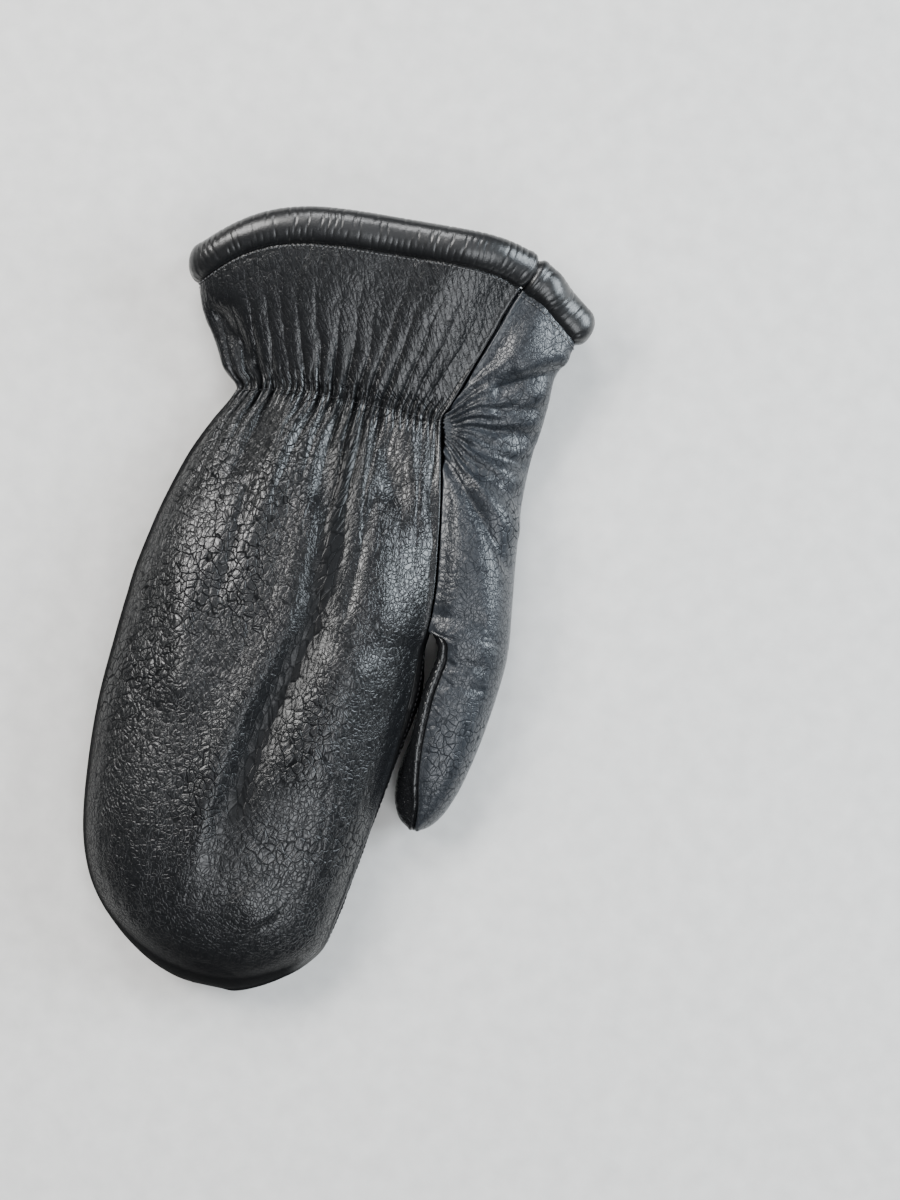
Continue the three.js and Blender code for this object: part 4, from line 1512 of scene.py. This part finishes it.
        # painted shade: darker leather without polish on the steep sides and the tip, fading out
        # towards the cuff and the thumb side, and in the valley
        start, run = self.DULL_LEVEL
        dull = np.clip(self.DULL * smooth((start - level) / run) + tip, 0, 1)
        start, run = self.DULL_WRIST
        dull *= smooth((start - past) / run)
        (edge, edge_run), (start, run) = self.DULL_ACROSS, self.DULL_TIP
        dull *= smooth((edge - x) / edge_run + smooth((start - y) / run))
        return {"coarse": coarse, "drawn": np.clip(drawn, 0, 1),
                "dull": np.maximum(dull, self.DULL_VALLEY * valley),
                "plain": np.clip(plain, 0, 1),
                "gather": smooth(self.GATHER_FULL - np.abs(past) / self.GATHER_REACH)}


@dataclass
class PalmPanel(Panel):
    """The palm and the cuff's underside, from the little-finger side to the thumb side."""

    rows: int = 281
    columns: int = 161

    SEAM = Seam(1.2, 0.7, 0.4, 1.8)
    SIDE = Seam(0.5, 0.6, 0.15, 1.5)
    # the puffed edge beside the thumb: from the seam, its half width, along the hand, its reach
    PUFF, PUFF_AT, PUFF_ALONG = 3.2, (5.0, 4.5), (14.0, 21.0)

    def smooth_form(self) -> Sheet:
        """The palm's form."""
        form, shares = self.form, packed_shares(self.columns, 0.3, 0.5)
        grid = form.trunk_grid(form.palm, form.trunk_indices(self.rows), shares)
        return Sheet.from_grid(grid, -1.0)

    def relief(self) -> np.ndarray:
        """Low wrinkles where it doesn't rest, and the turned seams."""
        sheet = self.sheet
        x, y, z = np.moveaxis(sheet.points, -1, 0)
        height = Swell(51, 14.0, 9.0, 0.35).at(y, z) + Wrinkles(52, 5.0, 1.2, 0.16).at(y, z + x)
        edges = self.SEAM.height(sheet.from_last_side) + self.SIDE.height(sheet.from_first_side)
        edges = np.where(z > 1.0, edges, np.minimum(edges, 0.0))
        (place, width), (along, reach) = self.PUFF_AT, self.PUFF_ALONG
        puffed = self.PUFF * bell(sheet.from_last_side - place, width) * bell(y - along, reach)
        return (height * smooth(z / 6.0) + edges + puffed) * smooth(sheet.along / 5.0)

    def values(self) -> dict[str, np.ndarray]:
        """An even grain, plain beside the seams, and painted shade beside the thumb-side seam."""
        sheet = self.sheet
        x, y = sheet.points[..., 0], sheet.points[..., 1]
        coarse = smooth(0.4 + Swell(53, 25.0, 25.0, 0.8).at(x, y))
        near = bell(sheet.from_last_side, 2.0) + bell(sheet.from_first_side, 3.0)
        # painted shade: darker leather without polish on a strip beside the thumb-side seam, below
        # the crotch
        return {"coarse": coarse, "plain": np.clip(near, 0, 1),
                "dull": 0.8 * bell(sheet.from_last_side - 5.0, 4.0) * smooth((60.0 - y) / 20.0)}


@dataclass
class ThumbPanel(Panel):
    """The thumb's outer leather and the gusset above it, one piece up to the rim."""

    thumb_rows: int = 161
    gusset_rows: int = 240
    columns: int = 125

    # the fan of folds from the wrist's seam, the crease under the cuff's lobe, the crotch's
    # folds and two across the thumb
    FOLDS = (
        Fold((45.0, 104.5), (78.0, 100.0), 3.0, -2.4, 1.6, 1.3),
        Fold((46.0, 101.0), (80.0, 86.0), 2.6, -2.0, 1.5, 1.4),
        Fold((48.0, 96.0), (80.0, 62.0), 2.2, -2.2, 1.4, 1.2),
        Fold((47.0, 108.0), (80.0, 110.0), 2.4, -1.8, 1.6, 1.4),
        Fold((60.0, 123.0), (80.0, 134.0), 3.2, -3.0, 1.5, 1.1),
        Fold((62.0, 116.0), (81.0, 121.0), 2.2, -1.4, 1.6, 1.2),
        Fold((66.0, 131.0), (81.0, 140.0), 6.0, 1.8, 2.0, 1.0),
        Fold((60.0, 90.0), (78.0, 76.0), 3.6, 1.3, 2.0, 1.2),
        Fold((57.0, 36.0), (68.0, 38.0), 4.5, 0.6, 2.0, 0.8),
        Fold((57.0, 42.0), (72.0, 43.0), 2.4, -1.0, 1.6, 1.0),
        Fold((63.0, 26.0), (76.0, 28.0), 2.0, -0.9, 1.5, 1.2),
        Fold((63.0, 19.0), (77.0, 20.0), 1.8, -0.7, 1.5, 1.2),
    )
    SEAM = Seam(1.3, 0.5, 0.6, 1.6)
    UNDER = Seam(0.8, 0.6, 0.0, 1.5)
    # the seam's corner at the wrist, from which small pleats fan out, and the crotch's lip
    FAN_AT, FAN_HEIGHT, FAN_PLEATS = (40.0, 107.0), 0.7, 34.0
    FAN_MIDDLE, FAN_REACH = (44.0, 108.0), 22.0
    LIP_AT, LIP_HEIGHT, LIP_PLEATS = (60.0, 34.0), 0.12, 9.0
    # the fine wrinkles across the thumb, their middle and their reach each way
    CROSS_HEIGHT, CROSS_PITCH, CROSS_LEAN = 0.26, 3.3, 0.5
    CROSS_AT, CROSS_REACH = (64.0, 22.0), (7.0, 13.0)
    SWELLS, WRINKLES = Swell(62, 11.0, 15.0, 0.45, 2), Wrinkles(63, 6.0, 0.6, 0.09)
    # the share of coarse cells and its change, and how plain the steep side is
    COARSE_SHARE, COARSE_CHANGE, PLAIN_SIDE = 0.62, Swell(64, 20.0, 24.0, 0.4), 0.55

    def smooth_form(self) -> Sheet:
        """The thumb's rows from its tip to the crotch, then the gusset's rows to the rim."""
        form, shares = self.form, packed_shares(self.columns, 0.7, 0.3)
        low = form.thumb.even_indices(form.THUMB_TIP, 0, self.thumb_rows, "y", "right")
        high = form.trunk.even_indices(form.CROTCH, form.RIM, self.gusset_rows + 1, "y", "arch")
        grid = np.concatenate([form.thumb_grid(form.thumb_outer, low, shares),
                               form.trunk_grid(form.gusset, high[1:], shares)])
        return Sheet.from_grid(grid, 1.0)

    def relief(self) -> np.ndarray:
        """Folds, cross wrinkles on the thumb, and the turned seams."""
        sheet = self.sheet
        x, y, z = np.moveaxis(sheet.points, -1, 0)
        fan = np.arctan2(y - self.FAN_AT[1], np.maximum(x - self.FAN_AT[0], 1.0))
        fan = np.cos(fan * self.FAN_PLEATS + 2.0 * Noise(61).at(x / 9.0, y / 9.0))
        cross = ((y + self.CROSS_LEAN * (x - self.LIP_AT[0])) / self.CROSS_PITCH
                 + 0.7 * Noise(65).at(x / 6.0, y / 9.0))
        lip_x, lip_y = x - self.LIP_AT[0], y - self.LIP_AT[1]
        pleats = np.cos(self.LIP_PLEATS * np.arctan2(lip_y, lip_x)
                        + Noise(66).at(x / 4.0, y / 4.0))
        from_fan = np.hypot(x - self.FAN_MIDDLE[0], y - self.FAN_MIDDLE[1])
        height = (sum(fold.height(x, y) for fold in self.FOLDS)
                  + self.FAN_HEIGHT * fan * bell(from_fan, self.FAN_REACH)
                  + self.SWELLS.at(x, y)
                  + self.WRINKLES.at(x, y)
                  + (self.CROSS_HEIGHT * creased_wave(cross)
                     * bell(y - self.CROSS_AT[1], self.CROSS_REACH[1])
                     * bell(x - self.CROSS_AT[0], self.CROSS_REACH[0]))
                  + self.LIP_HEIGHT * pleats * bell(np.hypot(lip_x, lip_y) - 3.5, 3.0))
        height = height * smooth(sheet.outward[..., 2] / 0.6 + 0.3) * smooth(z / 5.0)
        seams = self.SEAM.height(sheet.from_first_side) + self.UNDER.height(sheet.from_last_side)
        return (height + seams) * smooth(sheet.along / 3.0)

    def values(self) -> dict[str, np.ndarray]:
        """Fine grain with cells on the gusset, plain on the thumb's outer side."""
        sheet = self.sheet
        coarse = self.COARSE_CHANGE.at(sheet.points[..., 0], sheet.points[..., 1])
        steep = 1.0 - smooth(sheet.outward[..., 2] / 0.5)
        plain = self.PLAIN_SIDE * steep + bell(sheet.from_first_side, 2.0)
        return {"coarse": smooth(self.COARSE_SHARE + coarse), "plain": np.clip(plain, 0, 1)}


@dataclass
class ThumbInnerPanel(Panel):
    """The strip of leather on the thumb's inner side, with the web at its upper end."""

    thumb_rows: int = 161
    web_rows: int = 24
    columns: int = 49
    web_end: float = 0.88

    SEAM = Seam(1.4, 0.7, 0.8, 1.3)
    # the puffed upper edge: from the seam, its half width, along the thumb, its reach; and
    # where the edge ends towards the crotch
    PUFF, PUFF_AT, PUFF_ALONG, LIP_AT = 1.4, (3.5, 3.0), (16.0, 22.0), 38.0

    def smooth_form(self) -> Sheet:
        """The thumb's rows from its tip to the crotch, then the web's."""
        form, shares = self.form, packed_shares(self.columns, 0.5, 0.2)
        low = form.thumb.even_indices(form.THUMB_TIP, 0, self.thumb_rows, "y", "right")
        high = form.CROTCH + np.linspace(0.0, self.web_end, self.web_rows + 1)[1:]
        grid = np.concatenate([form.thumb_grid(form.thumb_inner, low, shares),
                               form.trunk_grid(form.web, high, shares)])
        return Sheet.from_grid(grid, -1.0)

    def relief(self) -> np.ndarray:
        """Small wrinkles and the raised edge beside the upper seam."""
        sheet = self.sheet
        y, z = sheet.points[..., 1], sheet.points[..., 2]
        lip = smooth((self.LIP_AT - y) / 4.0)
        (place, width), (along, reach) = self.PUFF_AT, self.PUFF_ALONG
        puffed = self.PUFF * bell(sheet.from_first_side - place, width) * bell(y - along, reach)
        edge = (self.SEAM.height(sheet.from_first_side) + puffed) * lip
        height = Wrinkles(71, 2.8, 1.4, 0.2).at(z, y) * smooth(z / 6.0)
        return (height + edge) * smooth(sheet.along / 3.0)

    def values(self) -> dict[str, np.ndarray]:
        """A fine grain, plain beside the seam."""
        plain = bell(self.sheet.from_first_side, 2.2)
        return {"coarse": np.full_like(plain, 0.2), "plain": plain}


@dataclass
class RimRoll:
    """A padded roll of smooth leather along a stretch of the cuff's rim.

    Attributes:
        name: the piece's name.
        node: the solid that it stands for.
        points: the rim's outline, in order, from joint to joint.
        outs: the ways out of the cuff at those points.
        normals: the leather's outward ways there.
        finish: the leather's finish.
        length: the roll's size along the hand.
        thickness: its size through the leather.
        gap: distance from the rim to the roll's edge.
        joint: the gap between two rolls' ends.
        wall: the leather and lining that the roll is sewn to.
        seed: seed of its wrinkles.
        sides: points round it.
        step: distance between its rings.
    """

    name: str
    node: str
    points: np.ndarray
    outs: np.ndarray
    normals: np.ndarray
    finish: LeatherFinish
    length: float = 13.4
    thickness: float = 9.4
    gap: float = -0.9
    joint: float = 0.5
    wall: float = 2.2
    seed: int = 81
    sides: int = 56
    step: float = 0.22

    # the wrinkles' spacing, half width in spacings, and depth; how they lean and wander
    SPACING, VALLEY, DEPTH, LEAN, WANDER = 2.2, 0.17, 0.16, 0.5, 0.6
    # the tuck beside the leather
    TUCK_DEPTH, TUCK_AT, TUCK_WIDTH = 0.30, 0.35, 0.30
    # drawn in at its ends and swollen beside them: the share, the place and the half width
    END_DRAWN, END_SWOLLEN = (0.16, 0.9), (0.05, 2.6, 1.6)
    PLAIN = 0.8

    def wrinkles(self, travel: np.ndarray, angle: np.ndarray) -> np.ndarray:
        """Fine cross wrinkles: thin valleys every few millimetres, leaning as they go round,
        each fading in and out along its length.

        Args:
            travel: distance along the roll.
            angle: angle round it.

        Returns:
            Heights, in millimetres.
        """
        lean = (travel + self.LEAN * np.cos(angle)
                + self.WANDER * Noise(self.seed).at(travel / 6.0, angle * 1.5))
        number, phase = np.divmod(lean / self.SPACING, 1.0)
        strength = smooth(0.55 + 0.9 * Noise(self.seed + 1).at(number * 3.7, angle * 1.1))
        broad = Swell(self.seed + 2, 9.0, 1 / 1.4, 0.06).at(travel, angle)
        return broad - self.DEPTH * bell(phase - 0.5, self.VALLEY) * strength

    def rings(self, even: np.ndarray, centre: np.ndarray, out: np.ndarray,
              normal: np.ndarray) -> np.ndarray:
        """The roll's surface: an oval of half length a and half thickness b round each centre.

        A point is centre - out cos(angle) a + normal sin(angle) b, both sizes with the
        wrinkles and the tuck, drawn in at the roll's ends.

        Args:
            even: distances along the rim.
            centre: centres there.
            out: ways along the hand.
            normal: ways through the leather.

        Returns:
            Points, rings by sides by 3.
        """
        angle = np.linspace(0.0, 2 * math.pi, self.sides, endpoint=False)[None]
        travel = np.repeat(even[:, None], self.sides, 1)
        end = np.minimum(travel - even[0], even[-1] - travel)
        (drawn, width), (swollen, place, spread) = self.END_DRAWN, self.END_SWOLLEN
        drawn_in = 1.0 - drawn * bell(end, width) + swollen * bell(end - place, spread)
        ahead = unit(np.gradient(centre, axis=0))
        slant = np.sum(out * ahead, -1)[:, None] * -np.cos(angle) * self.length / 2
        from_tuck = np.angle(np.exp(1j * (angle - self.TUCK_AT)))
        relief = (self.wrinkles(travel + slant, np.repeat(angle, len(even), 0))
                  - self.TUCK_DEPTH * bell(from_tuck, self.TUCK_WIDTH))
        along = -np.cos(angle) * (self.length / 2 + relief) * drawn_in
        through = np.sin(angle) * (self.thickness / 2 + relief) * drawn_in
        return (centre[:, None] + out[:, None] * along[..., None]
                + normal[:, None] * through[..., None])

    def build(self) -> bpy.types.Object:
        """Make the roll: an oval carried along the rim, closed at both ends.

        Returns:
            The piece, riding on the mitten's body in place of its solid.
        """
        run = travelled(self.points)
        even = np.linspace(self.joint / 2, run[-1] - self.joint / 2, int(run[-1] / self.step))
        out = unit(read_line(even, run, self.outs))
        normal = read_line(even, run, self.normals)
        normal = unit(normal - out * np.sum(normal * out, -1, keepdims=True))
        centre = (read_line(even, run, self.points) - normal * self.wall / 2
                  + out * (self.gap + self.length / 2))
        rings = self.rings(even, centre, out, normal)
        ids = tube_ids(len(even), self.sides)
        points = np.concatenate([rings.reshape(-1, 3), centre[:1], centre[-1:]])
        end = np.full(self.sides, len(points))
        caps = [np.stack([ids[0, 1:], ids[0, :-1], end - 2], -1),
                np.stack([ids[-1, :-1], ids[-1, 1:], end - 1], -1)]
        piece = make_piece(self.name, points, grid_quads(ids), *caps)
        add_value(piece.data, "plain", np.full(len(points), self.PLAIN))
        girth = np.arange(self.sides) * math.pi * self.length / self.sides
        uv = np.stack(np.meshgrid(even, girth, indexing="ij"), -1).reshape(-1, 2)
        add_uv(piece.data, np.concatenate([uv, np.zeros((2, 2))]))
        piece.data.materials.append(self.finish.material())
        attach(piece, "root")
        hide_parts(self.node)
        log.info("%s: %d faces", self.name, len(piece.data.polygons))
        return piece


@dataclass(frozen=True)
class StitchLine:
    """A line of small stitches lying on the leather.

    Attributes:
        name: the piece's name.
        slot: the record's material slot; not used.
        pitch: distance from one stitch to the next.
        length: one stitch's length.
        radius: half the thread's thickness.
        sink: how deep its middle lies under the leather's face.
    """

    name: str
    slot: Slot
    pitch: float = 1.7
    length: float = 1.25
    radius: float = 0.24
    sink: float = 0.02

    # a stitch's rings: place along it and radius, in shares; and its sides
    RINGS = np.array([(-1.0, 0.12), (-0.85, 0.7), (0.0, 1.0), (0.85, 0.7), (1.0, 0.12)])
    SIDES = 6

    def stitches(self, points: np.ndarray, ways: np.ndarray) -> np.ndarray:
        """Stitches along one line, each a rod with round ends, at equal distances.

        Args:
            points: points along the line, in millimetres.
            ways: the leather's outward ways there.

        Returns:
            Points, stitches by rings by sides by 3.
        """
        run = travelled(points)
        spots = np.arange(self.pitch / 2, run[-1], self.pitch)
        way = unit(read_line(spots + 0.3, run, points) - read_line(spots - 0.3, run, points))
        up = read_line(spots, run, ways)
        up = unit(up - way * np.sum(up * way, -1, keepdims=True))
        place = read_line(spots, run, points) + up * (self.radius * 0.6 - self.sink)
        turn = np.linspace(0, 2 * math.pi, self.SIDES, endpoint=False)
        radius = self.RINGS[:, 1:] * self.radius
        frame_of = np.stack([way, np.cross(way, up), up], 1)
        shape = np.stack([np.repeat(self.RINGS[:, :1] * self.length / 2, self.SIDES, 1),
                          radius * np.cos(turn), radius * np.sin(turn)], -1)
        return place[:, None, None] + np.einsum("rsk,nkx->nrsx", shape, frame_of)

    def build(self, lines: list[tuple[np.ndarray, np.ndarray]],
              thread: bpy.types.Material) -> bpy.types.Object:
        """Make all stitches of the lines as one mesh.

        Args:
            lines: points along each line, in millimetres, and the leather's outward ways.
            thread: the thread's material.

        Returns:
            The piece, riding on the mitten's body.
        """
        rods = np.concatenate([self.stitches(*line) for line in lines])
        starts = np.arange(len(rods))[:, None] * len(self.RINGS) * self.SIDES
        ids = tube_ids(len(self.RINGS), self.SIDES)
        body = (starts[..., None] + grid_quads(ids)).reshape(-1, 4)
        caps = np.concatenate([starts + ids[0, -2::-1], starts + ids[-1, :-1]])
        piece = make_piece(self.name, rods.reshape(-1, 3), body, caps)
        piece.data.materials.append(thread)
        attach(piece, "root")
        log.info("%s: %d stitches", self.name, len(rods))
        return piece


# Camera, light and floor

@dataclass(frozen=True)
class Studio:
    """The camera straight above, turned as the mitten lies in the picture, and soft light.

    Attributes:
        turn: how far the hand's axis leans from the picture's upright, in degrees.
        centre: x and y under the middle of the picture.
        frame_height: the height of the picture where the mitten lies.
        level: the height at which that is measured.
        lens: focal length.
        sensor: the sensor's size.
        floor_reach: half the floor's side.
    """

    turn: float = 12.0
    centre: tuple[float, float] = (59.5, 48.4)
    frame_height: float = 420.0
    level: float = 20.0
    lens: float = 85.0
    sensor: float = 36.0
    floor_reach: float = 3000.0

    def camera(self) -> None:
        """Put the camera above the picture's centre, looking straight down."""
        data = bpy.data.cameras.new("camera")
        data.lens = self.lens
        data.sensor_width = self.sensor
        camera = bpy.data.objects.new("camera", data)
        height = self.frame_height * self.lens / self.sensor + self.level
        camera.location = (self.centre[0] * MM, self.centre[1] * MM, height * MM)
        camera.rotation_euler = (0.0, 0.0, math.radians(self.turn))
        bpy.context.scene.collection.objects.link(camera)
        bpy.context.scene.camera = camera

    def light(self, name: str, azimuth: float, elevation: float, distance: float, size: float,
              power: float, color: tuple[float, float, float]) -> None:
        """Add a square soft light aimed at the mitten.

        Args:
            name: its name.
            azimuth: where it stands, in degrees from the picture's right, anticlockwise.
            elevation: its height over the floor, in degrees.
            distance: its distance from the mitten, in metres.
            size: its side, in metres.
            power: its power, in watts.
            color: its colour.
        """
        data = bpy.data.lights.new(name, "AREA")
        data.size = size
        data.energy = power
        data.color = color
        lamp = bpy.data.objects.new(name, data)
        around = math.radians(azimuth + self.turn)
        up = math.radians(elevation)
        lamp.location = (distance * math.cos(up) * math.cos(around),
                         distance * math.cos(up) * math.sin(around), distance * math.sin(up))
        lamp.rotation_euler = (math.pi / 2 - up, 0.0, around + math.pi / 2)
        bpy.context.scene.collection.objects.link(lamp)

    def world(self, color: tuple[float, float, float], strength: float) -> None:
        """Surround the scene with an even pale light."""
        world = bpy.data.worlds.new("studio")
        world.use_nodes = True
        shade = world.node_tree.nodes["Background"]
        shade.inputs["Color"].default_value = (*color, 1.0)
        shade.inputs["Strength"].default_value = strength
        bpy.context.scene.world = world

    def floor(self) -> None:
        """Lay a plain pale floor under the mitten."""
        corners = np.array([(-1, -1, 0), (1, -1, 0), (1, 1, 0), (-1, 1, 0)], float)
        floor = make_piece("floor", corners * self.floor_reach, np.array([(0, 1, 2, 3)]))
        finish = PlainFinish("pale_floor", (0.77, 0.757, 0.735), 0.75, 8.0, 0.02)
        floor.data.materials.append(finish.material())

    def build(self) -> None:
        """Camera, lights and floor."""
        self.camera()
        self.floor()
        self.world((0.93, 0.96, 1.0), 0.05)
        self.light("left_window", 145.0, 46.0, 1.3, 0.55, 19.5, (1.0, 0.99, 0.97))
        self.light("far_window", 94.0, 44.0, 1.3, 0.4, 9.5, (0.98, 0.99, 1.0))
        self.light("right_window", 12.0, 26.0, 1.3, 0.7, 27.0, (0.84, 0.93, 1.0))
        self.light("near_window", -62.0, 60.0, 1.4, 0.8, 12.5, (0.94, 0.97, 1.0))
        self.light("ceiling", 60.0, 82.0, 1.7, 1.2, 4.0, (0.95, 0.97, 1.0))


def seam_line(panel: Panel, gap: np.ndarray, rows: np.ndarray,
              distance: float) -> tuple[np.ndarray, np.ndarray]:
    """A line on a panel's face beside its seam: on each row, the column nearest to a distance.

    Args:
        panel: the panel.
        gap: every point's distance from the seam.
        rows: row numbers.
        distance: the line's distance from the seam.

    Returns:
        Points in millimetres, and outward ways.
    """
    return panel.line(rows, np.argmin(np.abs(gap[rows] - distance), axis=1))


def main() -> None:
    """Build the mitten piece by piece, then the studio."""
    logging.basicConfig(level=logging.INFO, format="%(name)s %(message)s")
    form = MittenForm()
    inside = PlainFinish("leather_inside", (0.016, 0.016, 0.017), 0.85, 0.6, 0.12).material()
    thread = PlainFinish("black_thread", (0.012, 0.012, 0.014), 0.5, 0.2, 0.03).material()

    back = BackPanel(form, "back_of_hand", "back_panel", Slot.BACK,
                     LeatherFinish("black_leather_back"))
    # painted shade: the palm's leather is darker and less polished than the back's, for the strip
    # that shows beside the thumb
    palm = PalmPanel(form, "palm", "palm_panel", Slot.PALM,
                     LeatherFinish("black_leather_palm", color=(0.004, 0.004, 0.0045), coat=0.35))
    # painted light: the thumb and gusset's leather is lighter and bluer than the back's, a painted
    # cool sheen as from the light on the right
    thumb = ThumbPanel(form, "thumb_and_gusset", "thumb_panel", Slot.THUMB,
                       LeatherFinish("black_leather_thumb", color=(0.0170, 0.0195, 0.0235),
                                     cell=2.4, crack_depth=0.085, dome_depth=0.045,
                                     coat_roughness=0.29))
    inner = ThumbInnerPanel(form, "thumb_inner", "thumb_inner_panel", Slot.PALM,
                            LeatherFinish("black_leather_inner"))
    for panel in (back, palm, thumb, inner):
        panel.build(inside)

    roll_finish = LeatherFinish("black_leather_roll", color=(0.0060, 0.0062, 0.0068), cell=1.6,
                                crack_depth=0.05, dome_depth=0.03, body_gloss=0.3,
                                roughness=0.36, coat=0.7, coat_roughness=0.25)
    RimRoll("roll_back", "rim_roll_back", *back.sheet.rim(), roll_finish).build()
    under = [np.concatenate([a, b[-2::-1]]) for a, b in zip(thumb.sheet.rim(), palm.sheet.rim())]
    RimRoll("roll_palm", "rim_roll_palm", *under, roll_finish, seed=91).build()

    rim_lines = [panel.line(panel.sheet.row_before_rim(RIM_LINE), np.arange(1, panel.columns - 1))
                 for panel in (back, thumb, palm)]
    rim_thread = PlainFinish("rim_thread", (0.075, 0.075, 0.078), 0.4, 0.2, 0.03).material()
    StitchLine("rim_stitches", Slot.ROLL, pitch=1.6, length=1.0, radius=0.3).build(
        rim_lines, rim_thread)

    wrist_row = int(np.argmin(np.abs(back.past_wrist()[:, 0])))
    StitchLine("gather_stitches", Slot.BACK, pitch=2.3, length=1.5, radius=0.3).build(
        [back.line(wrist_row, np.arange(3, back.columns - 3))], thread)

    palm_y, thumb_y = palm.sheet.points[:, -1, 1], thumb.sheet.points[:, 0, 1]
    palm_rows = np.flatnonzero((palm_y < LINE_END) & (palm_y > LINE_START))
    thumb_rows = np.flatnonzero(thumb_y < LINE_END)[6:]
    StitchLine("side_stitches", Slot.PALM, pitch=1.9, length=1.3, radius=0.17).build(
        [seam_line(palm, palm.sheet.from_last_side, palm_rows, PALM_LINE),
         seam_line(thumb, thumb.sheet.from_first_side, thumb_rows, THUMB_LINE)], thread)

    Studio().build()


if __name__ == "__main__":
    main()
